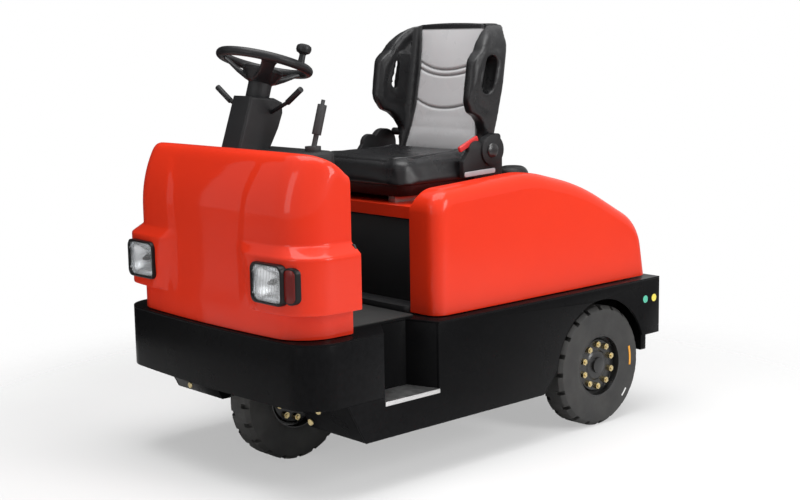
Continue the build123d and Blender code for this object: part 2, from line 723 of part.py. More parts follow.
def dash_console():
    x0, x1 = CONSOLE_RIGHT_X, CONSOLE_LEFT_X
    nose = COWL_REAR_Y - CONSOLE_NOSE
    body = slab(x0, x1, nose, CONSOLE_REAR_Y, CONSOLE_TOP - CONSOLE_DEPTH, CONSOLE_TOP)
    rear = [e for e in body.edges().filter_by(Axis.Z) if e.center().Y > COWL_REAR_Y]
    body = fillet(rear, CONSOLE_RADIUS)
    lid = [e for e in body.faces().sort_by(Axis.Z)[-1].edges() if e.center().Y > nose + 1]
    body = fillet(lid, CONSOLE_EDGE)
    roof_edge = crown_point(COWL_REAR_Y, -COWL_FIT)[1]
    under = slab(-REACH, REACH, -REACH, COWL_REAR_Y + 2 * COWL_FIT, 0, roof_edge)
    return body - cowl_form(-COWL_FIT) - under - column_form(COLUMN_FIT)


def column_form(grow):
    g = grow
    side_view = [
        (-185 - g, -348 - g), (-140 - g, -248), (-88 - g, -96 + g), (0, -106 + g), (30 + g, -120 + g),
        (30 + g, -153), (12 + g, -198), (-25 + g, -263), (-25 + g, -348 - g),
    ]
    points = [(STEERING_CENTRE_Y + y, STEERING_CENTRE_Z + z) for y, z in side_view]
    body = side_plate(points, -COLUMN_HALF_WIDTH - g, COLUMN_HALF_WIDTH + g)
    return fillet(body.edges().filter_by(Axis.X, reverse=True), COLUMN_EDGE + g)


def column_cover():
    body = column_form(0)
    return body - neck_solid(0.0)


def steering_plane(along):
    tilt = math.radians(STEERING_TILT)
    y = STEERING_CENTRE_Y + along * math.sin(tilt)
    z = STEERING_CENTRE_Z + along * math.cos(tilt)
    return Plane(origin=(0, y, z), x_dir=(1, 0, 0), z_dir=(0, math.sin(tilt), math.cos(tilt)))


def neck_solid(grow):
    return extrude(steering_plane(-STEERING_DROP) * Circle(NECK_RADIUS + grow), -NECK_LENGTH)


def column_neck():
    return neck_solid(0.0)


def stalk(side, ahead):
    y, z = STEERING_CENTRE_Y - ahead, STEERING_CENTRE_Z - STALK_DROP
    root = (side * STALK_ROOT_X, y, z)
    knee = (side * STALK_KNEE_X, y, z + STALK_KNEE_RISE)
    tip = (side * STALK_TIP_X, y, z + STALK_TIP_RISE)
    bar = rod(root, knee, STALK_RADIUS) + rod(knee, tip, STALK_GRIP_RADIUS)
    return bar - column_form(0)


def column_stalks():
    return Compound(children=[stalk(-1, STALK_RIGHT_AHEAD), stalk(1, STALK_LEFT_AHEAD)])


def steering_ring(grow):
    flats = RegularPolygon(STEERING_RIM + grow, RIM_FLATS)
    section = Plane.XZ * Pos(STEERING_RADIUS - STEERING_RIM, 0) * flats
    return steering_plane(0) * revolve(section, Axis.Z)


def steering_hub():
    base = RUNNING_GAP - STEERING_DROP
    foot = steering_plane(base) * Circle(STEERING_HUB_RADIUS)
    flare = steering_plane(base + STEERING_HUB_HEIGHT) * Circle(STEERING_HUB_FLARE)
    lip = extrude(flare, STEERING_HUB_LIP)
    return loft([foot, flare], ruled=True) + lip


def steering_spoke(angle):
    along = Vector(math.cos(math.radians(angle)), math.sin(math.radians(angle)), 0)
    across = Vector(-along.Y, along.X, 0)
    plane = steering_plane(0)
    dish = Vector(0, 0, RUNNING_GAP - STEERING_DROP + STEERING_HUB_HEIGHT)
    start = plane.from_local_coords(along * STEERING_HUB_RADIUS + dish)
    end = plane.from_local_coords(along * (STEERING_RADIUS - STEERING_RIM))
    sideways = plane.from_local_coords(across) - plane.origin
    section = Rectangle(SPOKE_WIDTH, SPOKE_THICKNESS)
    return extrude(Plane(origin=start, x_dir=sideways, z_dir=end - start) * section, (end - start).length)


def steering_wheel():
    wheel = steering_hub() + steering_ring(0)
    for angle in SPOKE_ANGLES:
        wheel = wheel + steering_spoke(angle)
    return wheel


def steering_knob():
    a = math.radians(KNOB_ANGLE)
    r = STEERING_RADIUS - STEERING_RIM
    low, top = STEERING_RIM + KNOB_STEM, STEERING_RIM + KNOB_STEM + KNOB_HEIGHT
    profile = [
        (0, 0), (KNOB_STEM_RADIUS, 0), (KNOB_STEM_RADIUS, low), (KNOB_RADIUS - KNOB_EDGE, low),
        (KNOB_RADIUS, low + KNOB_EDGE), (KNOB_RADIUS, top - KNOB_EDGE),
        (KNOB_RADIUS - KNOB_EDGE, top), (0, top),
    ]
    knob = revolve(Plane.XZ * make_face(Polyline(*profile, close=True)), Axis.Z)
    spot = steering_plane(0) * Pos(r * math.cos(a), r * math.sin(a), 0)
    return spot * knob - steering_ring(0)


def lever_point(along):
    lean = math.radians(LEVER_LEAN)
    y = COWL_REAR_Y + LEVER_SETBACK + along * math.sin(lean)
    return (LEVER_X, y, CONSOLE_TOP + along * math.cos(lean))


def handbrake_lever():
    y = COWL_REAR_Y + LEVER_SETBACK
    base = rod((LEVER_X, y, CONSOLE_TOP), (LEVER_X, y, CONSOLE_TOP + LEVER_BASE_HEIGHT), LEVER_BASE_RADIUS)
    arm = rod(lever_point(0), lever_point(LEVER_GRIP_END), LEVER_ROD_RADIUS)
    grip = rod(lever_point(LEVER_GRIP_START), lever_point(LEVER_GRIP_END), LEVER_GRIP_RADIUS)
    top = lever_point(LEVER_GRIP_END + LEVER_BUTTON)
    button = rod(lever_point(LEVER_GRIP_END - 1), top, LEVER_BUTTON_RADIUS)
    below = slab(0, REACH, -REACH, REACH, 0, CONSOLE_TOP)
    return base + arm + grip + button - below


def pedal_plate(x, rise, width, length, angle):
    place = Pos(x, COWL_REAR_Y + PEDAL_REACH, FLOOR_TOP + rise)
    return place * Rot(angle, 0, 0) * Box(width, PEDAL_THICKNESS, length)


def pedals():
    y = COWL_REAR_Y + PEDAL_REACH
    mat = FLOOR_TOP + MAT_THICKNESS
    brake = pedal_plate(BRAKE_X, BRAKE_RISE, BRAKE_WIDTH, BRAKE_LENGTH, BRAKE_ANGLE)
    pad = (BRAKE_X, y, FLOOR_TOP + BRAKE_RISE)
    arm = rod(pad, (BRAKE_X, y - 1.2 * PEDAL_REACH, pad[2] + BRAKE_ARM_RISE), BRAKE_ARM_RADIUS)
    drive = pedal_plate(DRIVE_X, DRIVE_RISE, DRIVE_WIDTH, DRIVE_LENGTH, DRIVE_ANGLE)
    half = DRIVE_FOOT / 2
    foot = slab(DRIVE_X - half, DRIVE_X + half, y, y + half, mat, FLOOR_TOP + DRIVE_RISE)
    below = slab(-REACH, REACH, -REACH, REACH, 0, mat)
    ahead = slab(-REACH, REACH, -REACH, COWL_REAR_Y - 1, 0, REACH)
    return Compound(children=[brake + arm - ahead, drive + foot - below])


def floor_mat():
    w, m = STEP_INNER_X - MAT_MARGIN, MAT_MARGIN / 2
    return slab(-w, w, COWL_REAR_Y + m, SILL_FRONT_Y - m, FLOOR_TOP, FLOOR_TOP + MAT_THICKNESS)


# Turntable, fork and front wheel

def turntable_bottom():
    return FLOOR_TOP - FLOOR_PLATE - TURNTABLE_HEIGHT


def steering_turntable():
    z = turntable_bottom() + TURNTABLE_HEIGHT / 2
    ring = Cylinder(TURNTABLE_RADIUS, TURNTABLE_HEIGHT)
    bore = Cylinder(STEM_RADIUS + STEM_CLEARANCE, TURNTABLE_HEIGHT + 2)
    return Pos(0, FRONT_AXLE_Y, z) * (ring - bore)


def steering_fork():
    crown_top = turntable_bottom() - RUNNING_GAP
    inner = TYRE_WIDTH / 2 + LEG_GAP
    outer = inner + LEG_PLATE
    y = CROWN_HALF_LENGTH
    crown = slab(-outer, outer, FRONT_AXLE_Y - y, FRONT_AXLE_Y + y, crown_top - CROWN_THICKNESS, crown_top)
    stem_length = TURNTABLE_HEIGHT - STEM_SHORT
    stem = Pos(0, FRONT_AXLE_Y, crown_top + stem_length / 2) * Cylinder(STEM_RADIUS, stem_length)
    leg_bottom = WHEEL_RADIUS - LEG_WIDTH / 2
    leg = slab(inner, outer, FRONT_AXLE_Y - LEG_WIDTH / 2, FRONT_AXLE_Y + LEG_WIDTH / 2,
               leg_bottom, crown_top - CROWN_THICKNESS)
    lower = leg.edges().filter_by(Axis.X).sort_by(Axis.Z)[0:2]
    leg = fillet(lower, LEG_WIDTH / 2 - 1)
    end = outer + SPINDLE_NUT
    spindle = rod((-end, FRONT_AXLE_Y, WHEEL_RADIUS), (end, FRONT_AXLE_Y, WHEEL_RADIUS),
                  FRONT_SPINDLE_RADIUS)
    return crown + stem + leg + mirror(leg, about=Plane.YZ) + spindle


# Wheels: each is drawn about the X axis with its outer face towards +X

def tyre_solid():
    w = TYRE_WIDTH / 2
    s = TREAD_SHOULDER
    half = [
        (WHEEL_RADIUS, w - s - TYRE_CROWN), (WHEEL_RADIUS - s, w - TYRE_CROWN),
        (WHEEL_RADIUS - TYRE_WALL_DROP, w), (TYRE_BEAD_RADIUS + TYRE_BEAD_HEIGHT, w - TYRE_CROWN),
        (TYRE_BEAD_RADIUS, w - TYRE_EDGE),
    ]
    other = [(r, -x) for r, x in reversed(half)]
    profile = make_face(Polyline(*half, *other, close=True))
    body = revolve(profile, Axis.Y)
    body = Rot(0, 0, -90) * body
    pitch = 360 / LUG_COUNT
    slots = []
    for side, start in ((1, 0), (-1, 0.5)):
        for i in range(LUG_COUNT):
            cut = Box(LUG_SLOT_REACH * 2, LUG_SLOT_WIDTH, TREAD_DEPTH * 2)
            cut = Pos(side * w, 0, WHEEL_RADIUS) * cut
            slots.append(Rot((i + start) * pitch, 0, 0) * cut)
    return body - slots


def rim_solid(bore, hub_reach):
    half = RIM_WIDTH / 2
    r = TYRE_BEAD_RADIUS
    t = RIM_WALL
    disc_x = half - RIM_DISC_INSET
    back_x = disc_x - RIM_DISC_THICKNESS
    if hub_reach:
        hub = [(HUB_CAP_RADIUS, disc_x + HUB_PROUD), (HUB_CAP_RADIUS, hub_reach), (bore, hub_reach),
               (bore, -hub_reach), (HUB_CAP_RADIUS, -hub_reach), (HUB_CAP_RADIUS, back_x)]
    else:
        cap_x = disc_x + HUB_PROUD + HUB_CAP_PROUD
        hub = [(HUB_CAP_RADIUS, disc_x + HUB_PROUD), (HUB_CAP_RADIUS, cap_x), (0, cap_x),
               (0, back_x - HUB_BACK), (HUB_RADIUS, back_x - HUB_BACK), (HUB_RADIUS, back_x)]
    points = [
        *hub, (r - t, back_x), (r - t, -half), (r, -half), (r, half), (r - t, half), (r - t, disc_x),
        (BOLT_FLANGE_RADIUS, disc_x), (BOLT_FLANGE_RADIUS - FLANGE_SLOPE, disc_x + BOLT_FLANGE_THICKNESS),
        (HUB_RADIUS + FLANGE_SLOPE, disc_x + BOLT_FLANGE_THICKNESS), (HUB_RADIUS, disc_x + HUB_PROUD),
    ]
    profile = make_face(Polyline(*points, close=True))
    return Rot(0, 0, -90) * revolve(profile, Axis.Y)


def placed_wheel(shape, side, x, y):
    turned = shape if side > 0 else mirror(shape, about=Plane.YZ)
    return Pos(x, y, WHEEL_RADIUS) * turned


def rear_rim_solid():
    return rim_solid(0.0, 0.0)


def front_rim_solid():
    return rim_solid(FRONT_SPINDLE_RADIUS + SPINDLE_FIT, TYRE_WIDTH / 2 + LEG_GAP - RUNNING_GAP)


# Rear axle

def rear_axle():
    inner_face = REAR_WHEEL_X + RIM_WIDTH / 2 - RIM_DISC_INSET - RIM_DISC_THICKNESS - HUB_BACK
    end = inner_face - RUNNING_GAP
    tube = rod((-end, REAR_AXLE_Y, WHEEL_RADIUS), (end, REAR_AXLE_Y, WHEEL_RADIUS), AXLE_TUBE_RADIUS)
    w = DIFF_WIDTH / 2
    diff = rod((-w, REAR_AXLE_Y, WHEEL_RADIUS), (w, REAR_AXLE_Y, WHEEL_RADIUS), DIFF_RADIUS)
    diff = chamfer(diff.edges().filter_by(GeomType.CIRCLE), DIFF_CHAMFER)
    body = tube + diff
    for side in (-1, 1):
        a, b = side * (end - DRUM_WIDTH), side * end
        body = body + rod((a, REAR_AXLE_Y, WHEEL_RADIUS), (b, REAR_AXLE_Y, WHEEL_RADIUS), DRUM_RADIUS)
    return body


def drive_motor():
    front, z = REAR_AXLE_Y - DIFF_RADIUS - MOTOR_LENGTH, WHEEL_RADIUS + MOTOR_RISE
    body = rod((0, front, z), (0, REAR_AXLE_Y - DIFF_RADIUS / 2, z), MOTOR_RADIUS)
    keep_out = rod((-REACH, REAR_AXLE_Y, WHEEL_RADIUS), (REACH, REAR_AXLE_Y, WHEEL_RADIUS), DIFF_RADIUS)
    return body - keep_out


# Hood

def hood_profile(inset):
    foot = FLOOR_TOP - HOOD_SHOULDER
    top = HOOD_FRONT_Z
    corners = [
        (HOOD_FRONT_Y, foot), (HOOD_FRONT_Y, top), (HOOD_CREST_Y, top + HOOD_CREST_RISE),
        (HOOD_REAR_Y - HOOD_SLOPE_LENGTH, top - HOOD_SLOPE_DROP),
        (HOOD_REAR_Y - HOOD_TAIL_LENGTH, top - HOOD_TAIL_DROP), (HOOD_REAR_Y, foot),
    ]
    radii = [HOOD_BROW_RADIUS, HOOD_CREST_RADIUS, HOOD_SLOPE_RADIUS, HOOD_TAIL_RADIUS]
    ridge = FilletPolyline(*corners, radius=radii)
    base = Line((HOOD_REAR_Y, foot), (HOOD_FRONT_Y, foot))
    face = make_face([*ridge.edges(), base.edge()])
    return offset(face, amount=-inset, kind=Kind.INTERSECTION) if inset else face


def hood_form(inset):
    w = HOOD_HALF_WIDTH - inset
    body = extrude(Plane.YZ.offset(-w) * hood_profile(inset), 2 * w)
    foot = FLOOR_TOP - HOOD_SHOULDER + inset
    rims = [e for e in body.edges() if abs(abs(e.center().X) - w) < 0.1 and e.center().Z > foot + 1]
    body = fillet(rims, HOOD_SHOULDER - inset)
    return body - slab(-REACH, REACH, -REACH, REACH, 0, FLOOR_TOP + HOOD_FLOOR_GAP)


def seat_deck(grow):
    w0 = SEAT_DECK_HALF_WIDTH + grow
    w1 = w0 + SEAT_DECK_FLARE
    z0, z1 = SEAT_DECK_Z - grow, SEAT_DECK_Z + SEAT_DECK_WALL_HEIGHT
    points = [(-w0, z0), (w0, z0), (w1, z1), (-w1, z1)]
    return front_plate(points, -REACH, SEAT_DECK_REAR_Y + grow)


def rear_hood():
    outer = hood_form(0) - seat_deck(0)
    inner = hood_form(HOOD_WALL) - seat_deck(HOOD_WALL)
    shell = outer - inner
    w = SEAT_DECK_HALF_WIDTH
    mouth = slab(-w, w, -REACH, SEAT_DECK_FRONT_Y, 0, REACH)
    shell = shell - mouth
    lip = slab(-w, w, SEAT_DECK_FRONT_Y, SEAT_DECK_FRONT_Y + HOOD_WALL, SEAT_DECK_Z - DECK_LIP_DROP,
               SEAT_DECK_Z - HOOD_WALL)
    return shell + lip


def hinge_knuckle(x0, x1):
    return rod((x0, HINGE_Y, HINGE_Z), (x1, HINGE_Y, HINGE_Z), HINGE_RADIUS)


def hood_hinges():
    parts = []
    for x in (-HINGE_X, HINGE_X):
        x0, x1 = x - HINGE_HALF_WIDTH, x + HINGE_HALF_WIDTH
        leaf = slab(x0, x1, TAIL_Y, TAIL_Y + HINGE_LEAF, FLOOR_TOP - HINGE_FIXED_DROP, HINGE_Z)
        parts.append(hinge_knuckle(x0, x1) + leaf)
    return Compound(children=parts)


def hood_hinge_leaves():
    parts = []
    for x in (-HINGE_X, HINGE_X):
        for side in (-1, 1):
            near = x + side * (HINGE_HALF_WIDTH + RUNNING_GAP)
            far = near + side * HINGE_LEAF_WIDTH
            a, b = min(near, far), max(near, far)
            y0, y1 = HOOD_REAR_Y - HINGE_LEAF_HEIGHT / 2, HOOD_REAR_Y + HINGE_LEAF
            leaf = slab(a, b, y0, y1, HINGE_Z, HINGE_Z + HINGE_LEAF_HEIGHT) - hood_form(0)
            bridge = slab(a, b, y1 - 1, HINGE_Y, HINGE_Z, HINGE_Z + HINGE_LEAF)
            parts.append(hinge_knuckle(a, b) + leaf + bridge)
    return Compound(children=parts)


# Tow coupling

def tow_coupling():
    w, h, t = JAW_HALF_WIDTH, JAW_HALF_HEIGHT, JAW_WALL
    x, z = w + FLANGE_MARGIN_X, h + FLANGE_MARGIN_Z
    flange = slab(-x, x, TAIL_Y, TAIL_Y + COUPLING_FLANGE, JAW_Z - z, JAW_Z + z)
    body = slab(-w, w, TAIL_Y, COUPLING_END_Y, JAW_Z - h, JAW_Z + h)
    mouth = slab(-w + t, w - t, 0, REACH, JAW_Z - h + t, JAW_Z + h - t)
    bore = Pos(0, COUPLING_END_Y - TOW_PIN_INSET, JAW_Z) * Cylinder(TOW_PIN_RADIUS + TOW_PIN_FIT, 4 * h)
    return flange + body - mouth - bore


def tow_pin():
    y = COUPLING_END_Y - TOW_PIN_INSET
    low, top = JAW_Z - JAW_HALF_HEIGHT, JAW_Z + JAW_HALF_HEIGHT
    pin = rod((0, y, low), (0, y, top + TOW_PIN_PROUD), TOW_PIN_RADIUS)
    collar = rod((0, y, top), (0, y, top + TOW_COLLAR), TOW_PIN_RADIUS + TOW_COLLAR_WALL)
    wire = Plane.XZ * Pos(TOW_RING_RADIUS, 0) * RegularPolygon(TOW_RING_WIRE, RIM_FLATS // 2)
    ring = Rot(90, 0, 0) * revolve(wire, Axis.Z)
    centre = top + TOW_PIN_PROUD + TOW_RING_RADIUS - TOW_RING_WIRE / 2
    return pin + collar + Pos(0, y, centre) * ring


# Seat

def seat_rails():
    low, high = SEAT_DECK_Z, SEAT_DECK_Z + SEAT_RAIL_HEIGHT
    y0, y1, half = SEAT_FRONT_Y + SEAT_RAIL_INSET, SEAT_REAR_Y + SEAT_RAIL_OVERRUN, SEAT_RAIL_HALF_WIDTH
    rails = [slab(s * SEAT_RAIL_X - half, s * SEAT_RAIL_X + half, y0, y1, low, high) for s in (-1, 1)]
    return Compound(children=rails)


def seat_pan():
    z0, z1 = SEAT_DECK_Z + SEAT_RAIL_HEIGHT, SEAT_CUSHION_BOTTOM
    width, length = 2 * SEAT_HALF_WIDTH - SEAT_PAN_TAPER / 3, SEAT_PAN_LENGTH
    y = SEAT_FRONT_Y + SEAT_PAN_CORNER / 2 + length / 2
    low = RectangleRounded(width - SEAT_PAN_TAPER, length - SEAT_PAN_TAPER / 2, SEAT_PAN_CORNER)
    high = RectangleRounded(width, length, SEAT_PAN_CORNER)
    return loft([Plane.XY.offset(z0) * Pos(0, y) * low, Plane.XY.offset(z1) * Pos(0, y) * high], ruled=True)


def seat_cushion():
    w = SEAT_HALF_WIDTH
    body = slab(-w, w, SEAT_FRONT_Y, SEAT_REAR_Y, SEAT_CUSHION_BOTTOM, SEAT_CUSHION_TOP)
    body = fillet(body.edges().filter_by(Axis.Z), SEAT_CORNER)
    body = fillet(body.faces().sort_by(Axis.Z)[-1].edges(), SEAT_EDGE)
    foot = slab(-REACH, REACH, -REACH, REACH, BACK_BOTTOM - SEAT_GAP, REACH)
    return body - (back_section(SEAT_GAP) & foot)


def back_y(z):
    return BACK_BOTTOM_Y + (z - BACK_BOTTOM) * math.tan(math.radians(BACK_TILT))


def back_section(grow):
    w, p, t, g = BACK_HALF_WIDTH + grow, BACK_PANEL_HALF_WIDTH - grow, BACK_THICKNESS, grow
    tip, wing = BACK_WING_REACH + g, BACK_WING_THICKNESS
    inner = w - BACK_WING_TIP - 2 * g
    plan = [
        (-p, -g), (-inner, -tip), (-w, -tip), (-w, wing), (-p, t + g), (p, t + g), (w, wing), (w, -tip),
        (inner, -tip), (p, -g),
    ]
    face = make_face(Polyline(*plan, close=True))
    face = fillet(face.vertices(), BACK_EDGE)
    z0, z1 = BACK_BOTTOM - BACK_THICKNESS, BACK_TOP + BACK_THICKNESS
    low = Plane.XY.offset(z0) * Pos(0, back_y(z0)) * face
    lean = Vector(0, back_y(z1) - back_y(z0), z1 - z0)
    return extrude(low, lean.length, dir=lean)


def back_side_outline():
    top, foot, rear = BACK_TOP, BACK_BOTTOM, BACK_BOTTOM_Y + 2 * BACK_THICKNESS + 40
    edges = [
        ThreePointArc((rear, top + 10), (225, top - 6), (136, top - 90)),
        ThreePointArc((136, top - 90), (73, top - 208), (104, top - 292)),
        ThreePointArc((104, top - 292), (150, top - 316), (172, top - 363)),
        Polyline((172, top - 363), (160, foot), (rear, foot), (rear, top + 10)),
    ]
    flat = [e for part in edges for e in part.edges()]
    return extrude(Plane.YZ.offset(-REACH / 2) * make_face(flat), REACH)


def back_front_outline(grow):
    w, g, foot = BACK_HALF_WIDTH + grow, grow, BACK_FOOT_HALF_WIDTH
    low, waist, wide = BACK_BOTTOM - g, BACK_TOP - BACK_WAIST_DROP, BACK_TOP - BACK_WIDEST_DROP
    points = [(-foot - g, low), (foot + g, low), (w - BACK_WAIST_INSET, waist), (w, wide),
              (w, BACK_TOP + g), (-w, BACK_TOP + g), (-w, wide), (-w + BACK_WAIST_INSET, waist)]
    face = make_face(Polyline(*points, close=True))
    upper = face.vertices().sort_by(Axis.Y)[-2:]
    face = fillet(upper, BACK_CORNER)
    return extrude(Plane(origin=(0, -REACH / 2, 0), x_dir=(-1, 0, 0), z_dir=(0, 1, 0)) * face, REACH)


def seat_backrest():
    body = back_section(0) & back_side_outline() & back_front_outline(0)
    slot = SlotOverall(GRIP_LENGTH, GRIP_WIDTH, rotation=90 - GRIP_LEAN)
    hole = extrude(Plane.YZ.offset(-REACH / 2) * Pos(GRIP_Y, GRIP_Z) * slot, REACH)
    wall = BACK_PANEL_HALF_WIDTH + GRIP_WALL
    keep = slab(-wall, wall, -REACH, REACH, 0, REACH)
    return body - (hole - keep)


def seat_brackets():
    x0 = BACK_HALF_WIDTH + BRACKET_GAP
    x1, x2 = x0 + BRACKET_THICKNESS, x0 + PIVOT_COVER
    base = SEAT_CUSHION_BOTTOM + SEAT_RAIL_HEIGHT / 2
    disc = rod((x0, PIVOT_Y, PIVOT_Z), (x2, PIVOT_Y, PIVOT_Z), PIVOT_RADIUS)
    hip_y = PIVOT_Y - HIP_SETBACK
    hip = rod((x0, hip_y, PIVOT_Z), (x1, hip_y, PIVOT_Z), HIP_RADIUS)
    front, rear = PIVOT_Y - 2.6 * PIVOT_RADIUS, PIVOT_Y + PIVOT_RADIUS
    shoulder = (hip_y - HIP_RADIUS, PIVOT_Z)
    cover = [(front, base), (rear, base), (rear, PIVOT_Z), shoulder, (front, PIVOT_Z - SEAT_EDGE)]
    arm = side_plate(cover, x0, x1)
    web = slab(x0, x0 + BRACKET_WEB, hip_y, rear - SEAT_EDGE, SEAT_CUSHION_BOTTOM - BRACKET_THICKNESS, base)
    foot = slab(SEAT_HALF_WIDTH - SEAT_EDGE, x0 + BRACKET_WEB, hip_y, rear - SEAT_EDGE,
                SEAT_CUSHION_BOTTOM - BRACKET_THICKNESS, SEAT_CUSHION_BOTTOM - 2)
    boss_at = (BACK_BOSS_Y, PIVOT_Z + BACK_BOSS_RISE - PIVOT_RISE)
    boss = rod((BACK_HALF_WIDTH / 2, *boss_at), (x0 + 4, *boss_at), BACK_BOSS_RADIUS)
    back = back_section(SEAT_GAP) & back_front_outline(SEAT_GAP)
    return both_sides(disc + hip + arm + web + (foot - seat_pan()) + (boss - back))


def belt_buckle():
    x0 = BACK_HALF_WIDTH + BRACKET_GAP + 2
    y0, y1 = BUCKLE_Y - BUCKLE_WIDTH / 2, BUCKLE_Y + BUCKLE_WIDTH / 2
    stem = slab(x0, x0 + BUCKLE_THICKNESS, y0, y1, PIVOT_Z, PIVOT_Z + BUCKLE_HEIGHT)
    return stem - seat_brackets()


def belt_retractor():
    top = FLOOR_TOP + RETRACTOR_RISE
    dome = extrude(Plane.XY.offset(top - RETRACTOR_DEPTH) * Pos(0, RETRACTOR_Y) * Circle(RETRACTOR_RADIUS),
                   RETRACTOR_DEPTH)
    dome = fillet(dome.edges().sort_by(Axis.Z)[-1], RETRACTOR_DOME)
    return dome - hood_form(0)


NODES = {
    "floor_plate": floor_plate(),
    "front_bumper": front_bumper(),
    "side_skirt_left": side_skirt(),
    "side_skirt_right": mirror(side_skirt(), about=Plane.YZ),
    "bay_sill": bay_sill(),
    "step_wells": both_sides(step_well()),
    "step_treads": both_sides(step_tread()),
    "front_frame_boxes": both_sides(frame_box()),
    "belly_plate": belly_plate(),
    "frame_rails": both_sides(rail()),
    "rear_frame_plate": rear_frame_plate(),
    "battery_block": battery_block(),
    "bay_front_panel": bay_front_panel(),
    "front_cowl": front_cowl(),
    "headlamp_housings": Compound(children=[headlamp_housing(-1), headlamp_housing(1)]),
    "headlamp_lenses": Compound(children=[headlamp_lens(-1), headlamp_lens(1)]),
    "marker_lenses": Compound(children=[marker_block(-1, 0), marker_block(1, 0)]),
    "dash_panel": dash_panel(),
    "dash_console": dash_console(),
    "column_cover": column_cover(),
    "column_neck": column_neck(),
    "column_stalks": column_stalks(),
    "steering_wheel": steering_wheel(),
    "steering_knob": steering_knob(),
    "handbrake_lever": handbrake_lever(),
    "pedals": pedals(),
    "floor_mat": floor_mat(),
    "steering_turntable": steering_turntable(),
    "steering_fork": steering_fork(),
    "front_tyre": placed_wheel(tyre_solid(), 1, 0, FRONT_AXLE_Y),
    "front_rim": placed_wheel(front_rim_solid(), 1, 0, FRONT_AXLE_Y),
    "rear_tyre_left": placed_wheel(tyre_solid(), 1, REAR_WHEEL_X, REAR_AXLE_Y),
    "rear_tyre_right": placed_wheel(tyre_solid(), -1, -REAR_WHEEL_X, REAR_AXLE_Y),
    "rear_rim_left": placed_wheel(rear_rim_solid(), 1, REAR_WHEEL_X, REAR_AXLE_Y),
    "rear_rim_right": placed_wheel(rear_rim_solid(), -1, -REAR_WHEEL_X, REAR_AXLE_Y),
    "rear_axle": rear_axle(),
    "drive_motor": drive_motor(),
    "rear_hood": rear_hood(),
    "hood_hinges": hood_hinges(),
    "hood_hinge_leaves": hood_hinge_leaves(),
    "tow_coupling": tow_coupling(),
    "tow_pin": tow_pin(),
    "seat_rails": seat_rails(),
    "seat_pan": seat_pan(),
    "seat_cushion": seat_cushion(),
    "seat_backrest": seat_backrest(),
    "seat_brackets": seat_brackets(),
    "belt_buckle": belt_buckle(),
    "belt_retractor": belt_retractor(),
}

os.makedirs("parts", exist_ok=True)
for name, shape in NODES.items():
    export_step(shape, "parts/" + name + ".step")
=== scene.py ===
# %% [markdown]
# # An electric tow tractor, dressed for its picture
# The steel and the moving parts come from a CAD model that is loaded as a fixed frame. Here the machine gets
# its looks: the glossy moulded cowl and hood, the vinyl seat, the lugged tyres, the lamps and every finish.
# All sizes are in metres, the front faces -Y and the driver's left is +X.

# %% Load the frame
import bpy
import bmesh
import math
from mathutils import Matrix, Vector


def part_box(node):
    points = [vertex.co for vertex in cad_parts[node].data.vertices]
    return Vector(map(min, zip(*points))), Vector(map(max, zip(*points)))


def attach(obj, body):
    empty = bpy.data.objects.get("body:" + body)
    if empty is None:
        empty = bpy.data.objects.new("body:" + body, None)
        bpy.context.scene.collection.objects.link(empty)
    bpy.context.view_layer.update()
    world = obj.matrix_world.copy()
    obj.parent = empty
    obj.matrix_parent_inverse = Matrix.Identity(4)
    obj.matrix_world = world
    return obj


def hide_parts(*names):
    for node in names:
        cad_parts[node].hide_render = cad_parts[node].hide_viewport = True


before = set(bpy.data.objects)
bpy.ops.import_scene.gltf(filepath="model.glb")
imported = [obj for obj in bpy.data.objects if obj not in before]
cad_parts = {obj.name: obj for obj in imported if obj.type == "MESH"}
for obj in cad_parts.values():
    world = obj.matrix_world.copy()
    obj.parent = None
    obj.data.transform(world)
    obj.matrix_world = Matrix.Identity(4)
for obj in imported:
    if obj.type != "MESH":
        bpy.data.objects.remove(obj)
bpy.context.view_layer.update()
scene = bpy.context.scene
scene.view_settings.view_transform = "Standard"
MM = 0.001
print("CAD nodes:", len(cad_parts))

# %% [markdown]
# ## Building with nodes
# Materials, the world and the modelling trees are all graphs of nodes. These helpers add a node, set it up and
# fill its inputs: a plain value is typed in, and a socket of another node is linked.

# %% Node helpers
def fill_inputs(tree, node, inputs):
    for key, value in inputs.items():
        if isinstance(value, bpy.types.NodeSocket):
            tree.links.new(value, node.inputs[key])
        else:
            node.inputs[key].default_value = value


def add_node(tree, kind, inputs=None, **settings):
    node = tree.nodes.new(kind)
    for label, value in settings.items():
        setattr(node, label, value)
    fill_inputs(tree, node, inputs or {})
    return node


def add_math(tree, operation, first, second, clamp=False):
    node = add_node(tree, "ShaderNodeMath", {0: first, 1: second}, operation=operation, use_clamp=clamp)
    return node.outputs[0]


def add_mix(tree, share, first, second):
    """Mixes two colours."""
    return add_node(tree, "ShaderNodeMix", {0: share, 6: first, 7: second}, data_type="RGBA").outputs[2]


def add_group(tree, group, inputs):
    """Adds one of the shared shader groups, and hands back its only output."""
    return add_node(tree, "ShaderNodeGroup", inputs, node_tree=group).outputs[0]


def new_material(name):
    material = bpy.data.materials.new(name)
    material.use_nodes = True
    return material, material.node_tree, material.node_tree.nodes["Principled BSDF"]


def plain_material(name, inputs):
    material, tree, shader = new_material(name)
    fill_inputs(tree, shader, inputs)
    return material

# %% [markdown]
# ## The camera
# The picture was taken from in front of the driver's left side, a little above the cowl, with a lens of
# medium length. A camera can be set by looking at a target, but its slight roll would be lost. Here its three
# axes are worked out from heading, pitch and roll, and become the columns of its matrix.

# %% Place the camera
CAMERA_PLACE = Vector((3.4372, -3.1425, 1.3340))
CAMERA_YAW = math.radians(47.71)
CAMERA_PITCH = math.radians(8.88)
CAMERA_ROLL = math.radians(-0.927)
FRAME_WIDTH_PX = 800
FOCAL_PX = 1395.65
SENSOR_WIDTH = 36.0


